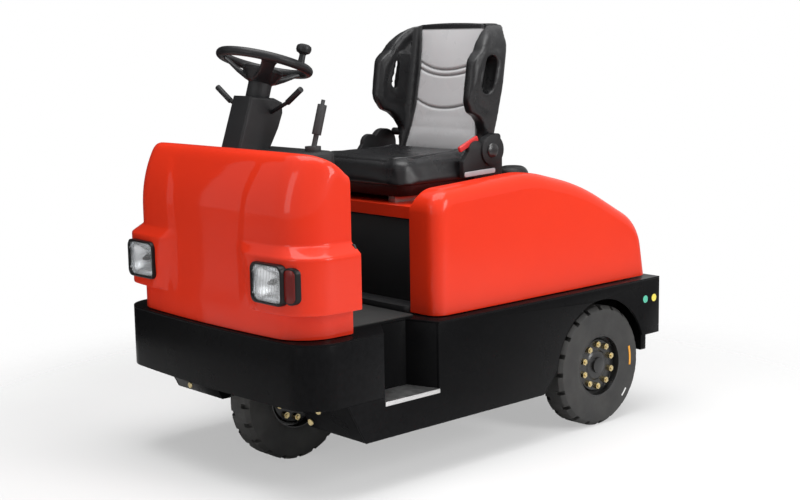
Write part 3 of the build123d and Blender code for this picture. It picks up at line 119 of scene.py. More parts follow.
def make_camera():
    yaw, pitch, roll = CAMERA_YAW, CAMERA_PITCH, CAMERA_ROLL
    ahead = Vector((-math.sin(yaw) * math.cos(pitch), math.cos(yaw) * math.cos(pitch), -math.sin(pitch)))
    right = ahead.cross(Vector((0, 0, 1))).normalized()
    up = right.cross(ahead)
    rolled_right = right * math.cos(roll) + up * math.sin(roll)
    rolled_up = up * math.cos(roll) - right * math.sin(roll)
    lens = bpy.data.cameras.new("camera")
    lens.sensor_width = SENSOR_WIDTH
    lens.lens = FOCAL_PX / FRAME_WIDTH_PX * SENSOR_WIDTH
    camera = bpy.data.objects.new("camera", lens)
    turned = Matrix((rolled_right, rolled_up, -ahead)).transposed().to_4x4()
    camera.matrix_world = Matrix.Translation(CAMERA_PLACE) @ turned
    scene.collection.objects.link(camera)
    scene.camera = camera
    print("lens:", round(lens.lens, 1), "mm")


make_camera()

# %% [markdown]
# ## Floor and light
# The machine stands in a white studio. A big soft lamp hangs overhead, a tall one stands on the machine's left
# and a weak one in front. The pale floor takes the tyres' soft shadow and, for the camera only, fades into the
# white with distance. A dark screen on the right gives the cowl's reflections a sharp edge: the camera doesn't
# see it and it casts no shadow.

# %% The floor and the screen
FLOOR_HALF = 30.0
FLOOR_GREY = 0.90
FADE_START = 1.1
FADE_END = 2.2
FLOOR_LIFT = 0.42
SCREEN_X = -1.85
SCREEN_Y = (-2.03, 3.5)
SCREEN_TOP = 3
WHITE = (1, 1, 1, 1)


def fade_out(material):
    """Far from the machine the camera looks through the floor into the white world behind it."""
    tree = material.node_tree
    place = add_node(tree, "ShaderNodeNewGeometry")
    reach = add_node(tree, "ShaderNodeVectorMath", {0: place.outputs["Position"]}, operation="LENGTH")
    fade = add_node(tree, "ShaderNodeMapRange", {"Value": reach.outputs["Value"], "From Min": FADE_START,
                                                 "From Max": FADE_END, "To Min": FLOOR_LIFT},
                    interpolation_type="SMOOTHSTEP")
    path = add_node(tree, "ShaderNodeLightPath")
    share = add_math(tree, "MULTIPLY", fade.outputs["Result"], path.outputs["Is Camera Ray"])
    clear = add_node(tree, "ShaderNodeBsdfTransparent")
    solid = tree.nodes["Principled BSDF"]
    mix = add_node(tree, "ShaderNodeMixShader", {0: share, 1: solid.outputs["BSDF"], 2: clear.outputs["BSDF"]})
    tree.links.new(mix.outputs["Shader"], tree.nodes["Material Output"].inputs["Surface"])


def stage_plane(name, corners, material, seen):
    mesh = bpy.data.meshes.new(name)
    mesh.from_pydata(corners, [], [(0, 1, 2, 3)])
    mesh.materials.append(material)
    plane = bpy.data.objects.new(name, mesh)
    scene.collection.objects.link(plane)
    plane.visible_camera = seen
    plane.visible_shadow = seen


def make_stage():
    grey = plain_material("studio_grey", {"Base Color": (FLOOR_GREY, FLOOR_GREY, FLOOR_GREY, 1), "Roughness": 0.6})
    fade_out(grey)
    half = FLOOR_HALF
    stage_plane("studio_floor", [(-half, -half, 0), (half, -half, 0), (half, half, 0), (-half, half, 0)], grey, True)
    black = plain_material("screen_black", {"Base Color": (0.01, 0.01, 0.01, 1), "Roughness": 0.9})
    corners = [(SCREEN_X, y, z) for y, z in zip(SCREEN_Y + SCREEN_Y[::-1], (0, 0, SCREEN_TOP, SCREEN_TOP))]
    stage_plane("dark_screen", corners, black, False)
    print("stage: floor and dark screen")


make_stage()

# %% The world and the lamps
WORLD_FILL = 0.22
WORLD_MIRRORED = 0.8
LAMPS = (("top_light", (0.4, -0.4, 4.2), (0, 0, 0.6), 3.6, 3.0, 170),
         ("left_light", (4.4, 0.9, 2.4), (0, 0.1, 0.7), 1.4, 2.6, 112),
         ("front_light", (0.6, -4.6, 2.2), (0, -0.4, 0.7), 1.2, 2.4, 26))


def make_world():
    """White for the camera, weak as a light, and nearly white where a surface mirrors it."""
    world = bpy.data.worlds.new("studio")
    world.use_nodes = True
    tree = world.node_tree
    seen = tree.nodes["Background"]
    fill_inputs(tree, seen, {"Color": WHITE, "Strength": 1.0})
    fill = add_node(tree, "ShaderNodeBackground", {"Color": WHITE, "Strength": WORLD_FILL})
    path = add_node(tree, "ShaderNodeLightPath")
    glossy = add_math(tree, "MULTIPLY", path.outputs["Is Glossy Ray"], WORLD_MIRRORED)
    share = add_math(tree, "ADD", path.outputs["Is Camera Ray"], glossy, clamp=True)
    mix = add_node(tree, "ShaderNodeMixShader", {0: share, 1: fill.outputs[0], 2: seen.outputs[0]})
    tree.links.new(mix.outputs["Shader"], tree.nodes["World Output"].inputs["Surface"])
    scene.world = world


def area_lamp(name, place, target, width, height, power):
    light = bpy.data.lights.new(name, "AREA")
    light.shape = "RECTANGLE"
    light.size, light.size_y = width, height
    light.energy = power
    lamp = bpy.data.objects.new(name, light)
    lamp.location = place
    lamp.rotation_euler = (Vector(target) - Vector(place)).to_track_quat("-Z", "Y").to_euler()
    scene.collection.objects.link(lamp)


make_world()
for lamp_row in LAMPS:
    area_lamp(*lamp_row)
print("lamps:", [row[0] for row in LAMPS])

# %% [markdown]
# ## Shared shader groups
# Real finishes are never one flat colour: paint has orange peel, moulded plastic has a fine grain, rubber has
# dust on its high spots. Each of these effects is a small node group with its own inputs. It puts out a mask
# or a normal only, and the Principled shader stays in the material, so a game export can still read it.

# %% Three groups
def new_group(name, numbers, result, kind="NodeSocketFloat"):
    """An empty group with number inputs, each with its usual value, and one output."""
    group = bpy.data.node_groups.new(name, "ShaderNodeTree")
    for label, value in numbers.items():
        socket = group.interface.new_socket(label, in_out="INPUT", socket_type="NodeSocketFloat")
        socket.default_value = value
    group.interface.new_socket(result, in_out="OUTPUT", socket_type=kind)
    return group, group.nodes.new("NodeGroupInput").outputs, group.nodes.new("NodeGroupOutput")


def add_noise(tree, scale, detail):
    """Noise on the piece's own coordinates."""
    place = add_node(tree, "ShaderNodeTexCoord").outputs["Object"]
    return add_node(tree, "ShaderNodeTexNoise", {"Vector": place, "Scale": scale, "Detail": detail}).outputs[0]


def surface_grain():
    """Bumps of a moulded or sprayed skin: a fine grain and broad waves, each with a scale and a depth."""
    numbers = {"Grain Scale": 900.0, "Grain Depth": 0.2, "Wave Scale": 40.0, "Wave Depth": 0.0}
    group, given, target = new_group("surface_grain", numbers, "Normal", "NodeSocketVector")
    fine = add_math(group, "MULTIPLY", add_noise(group, given["Grain Scale"], 2.0), given["Grain Depth"])
    broad = add_math(group, "MULTIPLY", add_noise(group, given["Wave Scale"], 1.0), given["Wave Depth"])
    height = add_math(group, "ADD", fine, broad)
    bump = add_node(group, "ShaderNodeBump", {"Distance": 0.001, "Height": height})
    group.links.new(bump.outputs["Normal"], target.inputs["Normal"])
    return group


def patchy_mask():
    """Soft uneven patches between two values, for handling marks, dust and cloudy gloss."""
    numbers = {"Scale": 6.0, "Low": 0.3, "High": 0.5, "Contrast": 2.0}
    group, given, target = new_group("patchy_mask", numbers, "Value")
    middle = add_math(group, "SUBTRACT", add_noise(group, given["Scale"], 5.0), 0.5)
    raised = add_math(group, "ADD", add_math(group, "MULTIPLY", middle, given["Contrast"]), 0.5)
    spread = add_node(group, "ShaderNodeMapRange", {"Value": raised, "To Min": given["Low"], "To Max": given["High"]})
    group.links.new(spread.outputs["Result"], target.inputs["Value"])
    return group


def worn_edge():
    """A mask that rises along convex edges, broken up by noise, where handling polishes the finish."""
    group, given, target = new_group("worn_edge", {"Amount": 0.5, "Scale": 60.0}, "Mask")
    shape = add_node(group, "ShaderNodeNewGeometry")
    sharp = add_node(group, "ShaderNodeMapRange", {"Value": shape.outputs["Pointiness"], "From Min": 0.52,
                                                   "From Max": 0.60})
    broken = add_math(group, "MULTIPLY", sharp.outputs["Result"], add_noise(group, given["Scale"], 2.0))
    mask = add_math(group, "MULTIPLY", broken, given["Amount"])
    group.links.new(mask, target.inputs["Mask"])
    return group


GRAIN = surface_grain()
PATCHES = patchy_mask()
EDGES = worn_edge()
print("shader groups:", [g.name for g in bpy.data.node_groups])

# %% [markdown]
# ## The finishes
# A finish is described by a short row of numbers: its colour, how rough it is between clean and cloudy spots,
# its grain, and its clear coat. One function turns a row into a material, so that every finish on the machine
# gets colour variation, a cloudy gloss and a grain of the right scale.

# %% Build a finish from its numbers
GLOSS_PATCH = 1.7


def finish(name, colour, second, rough, grain=(900, 0.2), wave=(40, 0.0), metal=0.0, coat=0.0, coat_rough=0.05,
           patch=6.0, edge=None, specular=0.5):
    material, tree, shader = new_material(name)
    cloud = add_group(tree, PATCHES, {"Scale": patch, "Low": 0.0, "High": 1.0})
    shown = add_mix(tree, cloud, (*colour, 1), (*second, 1))
    if edge:
        wear = add_group(tree, EDGES, {"Amount": edge[1]})
        shown = add_mix(tree, wear, shown, (*edge[0], 1))
    gloss = add_group(tree, PATCHES, {"Scale": patch * GLOSS_PATCH, "Low": rough[0], "High": rough[1]})
    skin = add_group(tree, GRAIN, {"Grain Scale": grain[0], "Grain Depth": grain[1], "Wave Scale": wave[0],
                                   "Wave Depth": wave[1]})
    fill_inputs(tree, shader, {"Base Color": shown, "Roughness": gloss, "Normal": skin, "Metallic": metal,
                               "Coat Weight": coat, "Coat Roughness": coat_rough, "Specular IOR Level": specular})
    return material

# %% Name the finishes
RED_PAINT = finish("red_paint", (0.80, 0.036, 0.009), (0.76, 0.032, 0.009), (0.40, 0.46), grain=(500, 0.02),
                   wave=(45, 0.05), coat=0.35, coat_rough=0.06, patch=3.0, specular=0.1)
BLACK_PAINT = finish("black_paint", (0.0030, 0.0030, 0.0033), (0.0045, 0.0045, 0.0048), (0.24, 0.34),
                     grain=(700, 0.08), wave=(60, 0.10), patch=5.0, edge=((0.03, 0.03, 0.033), 0.5),
                     specular=0.04)
TREAD_STEEL = finish("tread_steel", (0.62, 0.62, 0.62), (0.50, 0.50, 0.50), (0.28, 0.42), metal=1.0,
                     grain=(400, 0.2), patch=30.0)
DARK_PANEL = finish("dark_panel", (0.010, 0.010, 0.011), (0.014, 0.014, 0.015), (0.42, 0.52), grain=(1200, 0.3))
BEZEL_BLACK = finish("bezel_black", (0.005, 0.005, 0.0055), (0.008, 0.008, 0.0085), (0.28, 0.36), grain=(1500, 0.1),
                     specular=0.2)
MOULDED_BLACK = finish("moulded_black", (0.009, 0.009, 0.010), (0.013, 0.013, 0.014), (0.34, 0.44),
                       grain=(1300, 0.5), edge=((0.05, 0.05, 0.053), 0.4), specular=0.25)
GRIP_RUBBER = finish("grip_rubber", (0.014, 0.014, 0.015), (0.022, 0.022, 0.023), (0.55, 0.68), grain=(1000, 0.5))
MAT_RUBBER = finish("mat_rubber", (0.012, 0.012, 0.012), (0.020, 0.020, 0.019), (0.6, 0.75), grain=(800, 0.6))
TYRE_RUBBER = finish("tyre_rubber", (0.014, 0.014, 0.014), (0.030, 0.029, 0.027), (0.52, 0.72), grain=(600, 0.5),
                     wave=(80, 0.3), patch=14.0, edge=((0.09, 0.088, 0.082), 0.7))
RIM_BLACK = finish("rim_black", (0.008, 0.008, 0.008), (0.014, 0.014, 0.014), (0.22, 0.34), grain=(500, 0.08))
CAST_BLACK = finish("cast_black", (0.014, 0.014, 0.014), (0.024, 0.023, 0.022), (0.5, 0.65), grain=(350, 0.9))
BATTERY_GREY = finish("battery_grey", (0.06, 0.06, 0.065), (0.045, 0.045, 0.05), (0.35, 0.5))
PLAIN_STEEL = finish("plain_steel", (0.45, 0.45, 0.44), (0.32, 0.32, 0.31), (0.28, 0.42), metal=1.0)
ZINC_YELLOW = finish("zinc_yellow", (0.62, 0.50, 0.24), (0.50, 0.42, 0.26), (0.25, 0.38), metal=1.0, patch=60.0)
SEAT_VINYL = finish("seat_vinyl", (0.008, 0.008, 0.009), (0.012, 0.012, 0.013), (0.24, 0.32), grain=(1400, 0.3),
                    wave=(220, 0.15), specular=0.35)
BUCKLE_RED = finish("buckle_red", (0.62, 0.02, 0.02), (0.55, 0.02, 0.02), (0.3, 0.4))
MARKER_RED = finish("marker_red", (0.15, 0.006, 0.004), (0.11, 0.005, 0.004), (0.15, 0.25), specular=0.3)
print("finishes:", len(bpy.data.materials))

# %% [markdown]
# ## Carrying over the CAD pieces
# A CAD mesh comes in as loose flat triangles, so its curves look cut and its edges look like knife edges. The
# mesh itself is the frame and isn't touched. Three modifiers dress it instead: Weld joins the triangles, a
# small Bevel breaks the sharp edges so that they catch the light, and a short Geometry Nodes tree shades it
# smooth except across real corners.

# %% A modifier tree that shades smooth up to an angle
EDGE_ANGLE = math.radians(32)
BEVEL_ANGLE = math.radians(40)


def geometry_tree(name, inputs):
    """An empty Geometry Nodes tree with a geometry in and out, and more inputs with their usual values."""
    tree = bpy.data.node_groups.new(name, "GeometryNodeTree")
    for label, kind, value in (("Geometry", "Geometry", None), *inputs):
        socket = tree.interface.new_socket(label, in_out="INPUT", socket_type="NodeSocket" + kind)
        if value is not None:
            socket.default_value = value
    tree.interface.new_socket("Geometry", in_out="OUTPUT", socket_type="NodeSocketGeometry")
    return tree, tree.nodes.new("NodeGroupInput").outputs, tree.nodes.new("NodeGroupOutput")


def soft_shading_tree():
    tree, given, target = geometry_tree("soft_shading", [("Angle", "Float", EDGE_ANGLE)])
    plain = add_node(tree, "GeometryNodeRemoveAttribute", {"Geometry": given["Geometry"], "Name": "custom_normal"})
    faces = add_node(tree, "GeometryNodeSetShadeSmooth", {"Geometry": plain.outputs["Geometry"]}, domain="FACE")
    angle = add_node(tree, "GeometryNodeInputMeshEdgeAngle").outputs["Unsigned Angle"]
    corner = add_node(tree, "FunctionNodeCompare", {"A": angle, "B": given["Angle"]}, operation="GREATER_THAN")
    edges = add_node(tree, "GeometryNodeSetShadeSmooth", {
        "Geometry": faces.outputs["Geometry"], "Selection": corner.outputs["Result"], "Shade Smooth": False},
        domain="EDGE")
    tree.links.new(edges.outputs["Geometry"], target.inputs["Geometry"])
    return tree


SOFT_SHADING = soft_shading_tree()


def add_modifier(piece, kind, **settings):
    modifier = piece.modifiers.new(kind.lower(), kind)
    for label, value in settings.items():
        setattr(modifier, label, value)
    return modifier


def dress_node(name, material, bevel):
    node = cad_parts[name]
    node.data.materials.clear()
    node.data.materials.append(material)
    add_modifier(node, "WELD", merge_threshold=0.00002)
    if bevel:
        add_modifier(node, "BEVEL", width=bevel * MM, segments=2, limit_method="ANGLE", angle_limit=BEVEL_ANGLE)
    add_modifier(node, "NODES", node_group=SOFT_SHADING)

# %% Give each CAD node its finish
NODE_FINISH = (
    (BLACK_PAINT, 1.0, "step_wells belly_plate frame_rails"),
    (BLACK_PAINT, 1.2, "floor_plate"),
    (BLACK_PAINT, 1.5, "front_bumper side_skirt_left side_skirt_right front_frame_boxes rear_frame_plate"),
    (TREAD_STEEL, 0.6, "step_treads"),
    (BATTERY_GREY, 1.0, "battery_block"),
    (DARK_PANEL, 0.8, "bay_front_panel dash_panel"),
    (DARK_PANEL, 2.5, "bay_sill"),
    (RED_PAINT, 0, "front_cowl rear_hood"),
    (BEZEL_BLACK, 1.5, "headlamp_housings"),
    (BEZEL_BLACK, 0.5, "headlamp_lenses"),
    (MARKER_RED, 1.5, "marker_lenses"),
    (MOULDED_BLACK, 0, "dash_console steering_wheel steering_knob"),
    (MOULDED_BLACK, 1.0, "column_cover column_neck column_stalks seat_pan"),
    (MOULDED_BLACK, 1.5, "seat_brackets belt_retractor"),
    (GRIP_RUBBER, 0.8, "handbrake_lever"),
    (GRIP_RUBBER, 1.0, "pedals"),
    (MAT_RUBBER, 0.8, "floor_mat"),
    (CAST_BLACK, 0, "rear_axle drive_motor"),
    (CAST_BLACK, 1.0, "steering_turntable"),
    (CAST_BLACK, 1.2, "steering_fork"),
    (CAST_BLACK, 2.0, "tow_coupling"),
    (TYRE_RUBBER, 1.2, "front_tyre rear_tyre_left rear_tyre_right"),
    (RIM_BLACK, 0.6, "front_rim rear_rim_left rear_rim_right"),
    (PLAIN_STEEL, 0.4, "hood_hinges hood_hinge_leaves"),
    (PLAIN_STEEL, 0.8, "seat_rails"),
    (ZINC_YELLOW, 0.4, "tow_pin"),
    (SEAT_VINYL, 0, "seat_cushion seat_backrest"),
    (BUCKLE_RED, 1.0, "belt_buckle"),
)
dressed = [(name, row[0], row[1]) for row in NODE_FINISH for name in row[2].split()]
for node_row in dressed:
    dress_node(*node_row)
print("dressed nodes:", len(dressed))

# %% [markdown]
# ## Small helpers for modelled pieces
# Every modelled piece goes through the same steps: points become a mesh, modifiers finish it, and the result
# is kept as a plain mesh that rides on one body of the machine. Sizes are written in millimetres, as on a
# drawing, and become metres only where a mesh is made.

# %% From points to a finished piece
def smooth_step(low, high, value):
    t = min(1.0, max(0.0, (value - low) / (high - low)))
    return t * t * (3 - 2 * t)


def mesh_from_rings(rings, closed=True, cap_first=False, cap_last=False):
    """Joins rings of points, given in millimetres, with four-sided faces."""
    mesh_data = bmesh.new()
    rows = [[mesh_data.verts.new(Vector(point) * MM) for point in ring] for ring in rings]
    count = len(rings[0])
    steps = count if closed else count - 1
    for lower, upper in zip(rows, rows[1:]):
        for i in range(steps):
            j = (i + 1) % count
            mesh_data.faces.new((lower[i], lower[j], upper[j], upper[i]))
    if cap_first:
        mesh_data.faces.new(list(reversed(rows[0])))
    if cap_last:
        mesh_data.faces.new(rows[-1])
    bmesh.ops.remove_doubles(mesh_data, verts=mesh_data.verts, dist=0.02 * MM)
    bmesh.ops.recalc_face_normals(mesh_data, faces=mesh_data.faces)
    mesh = bpy.data.meshes.new("rings")
    mesh_data.to_mesh(mesh)
    mesh_data.free()
    return mesh


def solid_from_rings(rings):
    return mesh_from_rings(rings, cap_first=True, cap_last=True)


def new_piece(name, mesh, material):
    piece = bpy.data.objects.new(name, mesh)
    mesh.name = name
    mesh.materials.clear()
    mesh.materials.append(material)
    mesh.shade_smooth()
    scene.collection.objects.link(piece)
    return piece


def keep_result(piece):
    """Applies all modifiers, and makes the result the piece's plain mesh."""
    graph = bpy.context.evaluated_depsgraph_get()
    result = bpy.data.meshes.new_from_object(piece.evaluated_get(graph))
    piece.modifiers.clear()
    piece.data = result
    return piece


def soften(piece, bevel=0.0, segments=2, angle=35):
    if bevel:
        add_modifier(piece, "BEVEL", width=bevel * MM, segments=segments, limit_method="ANGLE",
                     angle_limit=math.radians(angle))
    add_modifier(piece, "NODES", node_group=SOFT_SHADING)
    return keep_result(piece)


def joined(meshes):
    both = bmesh.new()
    for mesh in meshes:
        both.from_mesh(mesh)
    whole = bpy.data.meshes.new("joined")
    both.to_mesh(whole)
    both.free()
    return whole


def mirrored(mesh):
    """The other side's copy of a mesh, with its faces turned the right way round again."""
    copy = mesh.copy()
    copy.transform(Matrix.Scale(-1, 4, Vector((1, 0, 0))))
    copy.flip_normals()
    return copy


def pair(mesh):
    return joined([mesh, mirrored(mesh)])


def seat_on(piece, body, slot, *nodes):
    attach(piece, body)
    if nodes:
        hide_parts(*nodes)
    return piece


def make_piece(name, mesh, material, body, slot, *nodes, bevel=0.0, segments=2):
    """Finishes a mesh as a visible piece that rides on a body, and may stand in for CAD nodes."""
    return seat_on(soften(new_piece(name, mesh, material), bevel, segments), body, slot, *nodes)

# %% [markdown]
# ## The front cowl
# The real cowl is one glass-fibre moulding: upright below, leaning back above, with a nose that bows forward,
# a top edge rolled down to the rear, and two pods that swell out for the lamps. Hard CAD fillets can't give
# the soft run-out of the pods. So the skin is found point by point: from a core line inside the cowl, rays go
# outwards and upwards, and each point lies where its ray leaves the form. The pods are then added as a push
# along the same rays, which fades in softly on the inner side and ends crisply below.

# %% The cowl's form
COWL_HALF = 437.0
COWL_NOSE = -806.0
COWL_REAR = -600.0
COWL_CORNER = 112.0
COWL_BOW = 22.0
COWL_FOOT = 478.0
COWL_TOP = 1004.0
CROWN_RADIUS = 192.0
CROWN_Y = -745.0
LEAN_START = 800.0
LEAN_RADIUS = 364.0
RIM_RADIUS = 20.0
POD_HALF = 478.0
POD_NOSE = -824.0
POD_CORNER = 105.0
POD_FOOT = 552.0
POD_LEDGE_LOW = 716.0
POD_LEDGE_TOP = 746.0
CHEEK_STEP = 5.0
REAR_LIP = 24.0
POD_INNER = 262.0
POD_SPLAY = 0.335
CREASE_HALF = 188.0


def wall_distance(x, y, half, nose, corner):
    """How far a point in plan lies outside a bowed box with round front corners."""
    ahead = nose + COWL_BOW * (x / half) ** 2 + corner - y
    aside = abs(x) - (half - corner)
    if ahead > 0 and aside > 0:
        return math.hypot(ahead, aside) - corner
    return max(ahead, aside) - corner


def cowl_lean(z):
    rise = min(max(0.0, z - LEAN_START), 0.9 * LEAN_RADIUS)
    return LEAN_RADIUS - math.sqrt(LEAN_RADIUS ** 2 - rise ** 2)


def crown_height(y):
    return COWL_TOP - CROWN_RADIUS + math.sqrt(max(1.0, CROWN_RADIUS ** 2 - (y - CROWN_Y) ** 2))


def cowl_distance(point):
    wall = wall_distance(point.x, point.y, COWL_HALF, COWL_NOSE + cowl_lean(point.z), COWL_CORNER)
    roof = point.z - crown_height(point.y)
    if wall > -RIM_RADIUS and roof > -RIM_RADIUS:
        return math.hypot(wall + RIM_RADIUS, roof + RIM_RADIUS) - RIM_RADIUS
    return max(wall, roof)


def pod_distance(point):
    return wall_distance(point.x, point.y, POD_HALF, POD_NOSE, POD_CORNER)


def ray_reach(distance, start, direction):
    near, far = 0.0, 260.0
    for _ in range(30):
        middle = (near + far) / 2
        if distance(start + direction * middle) < 0:
            near = middle
        else:
            far = middle
    return near


def pod_share(x, z):
    """How much of the pod a place has: nothing in the middle, all of it at the lamps and round the side."""
    inner = POD_INNER - POD_SPLAY * (min(z, 740.0) - 560.0)
    across = smooth_step(inner - 42, inner + 8, abs(x))
    foot = smooth_step(POD_FOOT - 1.5, POD_FOOT + 1.5, z)
    ledge = 1 - min(1.0, max(0.0, (z - POD_LEDGE_LOW) / (POD_LEDGE_TOP - POD_LEDGE_LOW)))
    return across * foot * ledge


def cheek_recess(x, z):
    """The middle of the cowl lies a little behind its cheeks, inside two sweeping creases."""
    crease = CREASE_HALF + max(0.0, z - 726.0) * 0.12 + max(0.0, z - 878.0) * 0.20
    inside = 1 - smooth_step(crease - 30, crease + 4, abs(x))
    return CHEEK_STEP * inside * smooth_step(520, 600, z) * (1 - smooth_step(940, 990, z))

# %% Rays, rows and faces
FRONT_STEPS = 36
CORNER_STEPS = 10
SIDE_STEPS = 4
RIM_STEPS = 14
CORE_Z = 870.0
WALL_LEVELS = (COWL_FOOT, 482, 500, 525, 545, 549, 550.4, 553.6, 556, 575, 600, 630, 660, 690, 708, 716, 720, 731,
               742, 746, 751, 770, 790, 810, 830, 850)


def cowl_columns():
    """Where each column of the grid starts in plan, and the way its rays go."""
    core_x = COWL_HALF - COWL_CORNER
    front_y = [COWL_NOSE + COWL_BOW * (core_x * i / (FRONT_STEPS / 2) / COWL_HALF) ** 2 + COWL_CORNER
               for i in range(FRONT_STEPS // 2 + 1)]
    corner_y = front_y[-1]
    columns = []
    for i in range(SIDE_STEPS):
        y = COWL_REAR + (corner_y - COWL_REAR) * i / SIDE_STEPS
        columns.append((core_x, y, 0.0))
    for i in range(CORNER_STEPS):
        columns.append((core_x, corner_y, -math.pi / 2 * i / CORNER_STEPS))
    for i in range(FRONT_STEPS // 2, -1, -1):
        columns.append((core_x * i / (FRONT_STEPS / 2), front_y[i], -math.pi / 2))
    other = [(-x, y, math.pi - angle) for x, y, angle in reversed(columns[:-1])]
    return columns + other


def cowl_skin_rings():
    rings = []
    columns = cowl_columns()
    for z in WALL_LEVELS:
        ring = []
        for x, y, angle in columns:
            start, way = Vector((x, y, z)), Vector((math.cos(angle), math.sin(angle), 0))
            reach = ray_reach(cowl_distance, start, way)
            skin = start + way * reach
            swell = ray_reach(pod_distance, start, way) - reach
            push = swell * pod_share(skin.x, z) - cheek_recess(skin.x, z) * (abs(way.x) < 0.1)
            ring.append(skin + way * push)
        rings.append(ring)
    for step in range(RIM_STEPS + 1):
        rise = math.pi / 2 * step / RIM_STEPS
        ring = []
        for x, y, angle in columns:
            flat = Vector((math.cos(angle), math.sin(angle), 0))
            start, way = Vector((x, y, CORE_Z)), flat * math.cos(rise) + Vector((0, 0, math.sin(rise)))
            skin = start + way * ray_reach(cowl_distance, start, way)
            push = -cheek_recess(skin.x, skin.z) * (abs(flat.x) < 0.1) * math.cos(rise)
            ring.append(skin + flat * push)
        rings.append(ring)
    return rings


def cowl_roof_rings():
    """The flat part of the top, from the core line over the crown to the rear edge."""
    middle = [c for c in cowl_columns() if abs(c[2] + math.pi / 2) < 0.001 or abs(c[2] - 1.5 * math.pi) < 0.001]
    rings = []
    for step in range(SIDE_STEPS + 1):
        ys = [y + (COWL_REAR - y) * step / SIDE_STEPS for x, y, angle in middle]
        rings.append([Vector((x, y, crown_height(y))) for (x, _, _), y in zip(middle, ys)])
    return rings + [[point - Vector((0, 0, REAR_LIP)) for point in rings[-1]]]

# %% The lamp sockets
def rounded_loop(half_width, half_height, corner, steps=6):
    """A rounded rectangle as a ring of (across, up) pairs."""
    loop = []
    for turn, (sx, sz) in enumerate(((1, 1), (-1, 1), (-1, -1), (1, -1))):
        for i in range(steps + 1):
            a = math.pi / 2 * (turn + i / steps)
            loop.append((sx * (half_width - corner) + corner * math.cos(a),
                         sz * (half_height - corner) + corner * math.sin(a)))
    return loop


LAMP_X = 326.0
LAMP_Z = 640.0
LAMP_FRONT = -828.0
LAMP_HALF = (73.0, 59.0)
LAMP_CORNER = 22.0
SOCKET_FIT = 0.5
SKIN = 5.0


def socket_mesh(side):
    """The block that cuts a lamp's socket, a little wider all round than the lamp."""
    loop = rounded_loop(*(size + SOCKET_FIT for size in (*LAMP_HALF, LAMP_CORNER)))
    rings = [[(side * LAMP_X + u, y, LAMP_Z + v) for u, v in loop] for y in (LAMP_FRONT - 10, LAMP_FRONT + 80)]
    return solid_from_rings(rings)

# %% Make the cowl
def make_cowl():
    skin = mesh_from_rings(cowl_skin_rings(), closed=False)
    roof = mesh_from_rings(cowl_roof_rings(), closed=False)
    shape = bmesh.new()
    shape.from_mesh(skin)
    shape.from_mesh(roof)
    bmesh.ops.remove_doubles(shape, verts=shape.verts, dist=0.3 * MM)
    bmesh.ops.recalc_face_normals(shape, faces=shape.faces)
    shape.faces.ensure_lookup_table()
    nose = min(shape.faces, key=lambda face: face.calc_center_median().y)
    if nose.normal.y > 0:
        bmesh.ops.reverse_faces(shape, faces=shape.faces)
    mesh = bpy.data.meshes.new("cowl_moulding")
    shape.to_mesh(mesh)
    shape.free()
    cowl = new_piece("cowl_moulding", mesh, RED_PAINT)
    add_modifier(cowl, "SUBSURF", levels=1, render_levels=1)
    add_modifier(cowl, "SOLIDIFY", thickness=SKIN * MM, offset=-1.0)
    cutters = []
    for side in (-1, 1):
        cutter = new_piece("socket", socket_mesh(side), RED_PAINT)
        cutters.append(cutter)
        add_modifier(cowl, "BOOLEAN", operation="DIFFERENCE", object=cutter, solver="EXACT")
    soften(cowl)
    for cutter in cutters:
        bpy.data.objects.remove(cutter)
    return seat_on(cowl, "chassis", "body_red", "front_cowl")


cowl_piece = make_cowl()
print("cowl faces:", len(cowl_piece.data.polygons))

# %% [markdown]
# ## The lamps
# Each lamp is a black frame with a rounded opening, a bright bowl behind it, a small bulb, and a clear lens
# with upright flutes on its inner face. The flutes are real waves in the glass, so they break the bowl's
# reflection into the bright upright streaks that such lamps show. Beside each lamp, in a black frame of its own,
# a dark red marker lens follows the pod round its corner.

# %% Lamp finishes
LAMP_GLASS = plain_material("lamp_glass", {"Base Color": (0.96, 0.97, 0.98, 1), "Roughness": 0.03,
                                           "Transmission Weight": 1.0, "IOR": 1.45})
BOWL_SILVER = finish("bowl_silver", (0.86, 0.87, 0.88), (0.78, 0.79, 0.80), (0.16, 0.26), metal=1.0, patch=20.0)
BULB_DARK = finish("bulb_dark", (0.02, 0.02, 0.022), (0.03, 0.03, 0.03), (0.15, 0.2))
print("finishes with the lamps':", len(bpy.data.materials))

# %% Frame, bowl, bulb and lens
LENS_HALF = (66.5, 51.5)
LENS_CORNER = 24.0
LENS_FRONT = -824.0
FLUTE_PITCH = 7.0
FLUTE_DEPTH = 0.9
FLUTE_STEPS = 6
BOWL_STEPS = 8
BOWL_EYE = 12


def lamp_rings(steps):
    """Rings of a lamp's section: each step gives half width, half height, corner radius and depth."""
    return [[(LAMP_X + u, y, LAMP_Z + v) for u, v in rounded_loop(w, h, c)] for w, h, c, y in steps]


def lamp_frame_mesh():
    (w, h), (lw, lh) = LAMP_HALF, LENS_HALF
    return mesh_from_rings(lamp_rings([
        (w, h, LAMP_CORNER, LAMP_FRONT + 56), (w, h, LAMP_CORNER, LAMP_FRONT + 5),
        (w - 1.4, h - 1.4, LAMP_CORNER - 1, LAMP_FRONT + 1.4), (w - 5, h - 5, LAMP_CORNER - 2, LAMP_FRONT),
        (lw + 2, lh + 2, LENS_CORNER, LAMP_FRONT + 1), (lw, lh, LENS_CORNER, LAMP_FRONT + 4),
        (lw, lh, LENS_CORNER, LAMP_FRONT + 14)]))


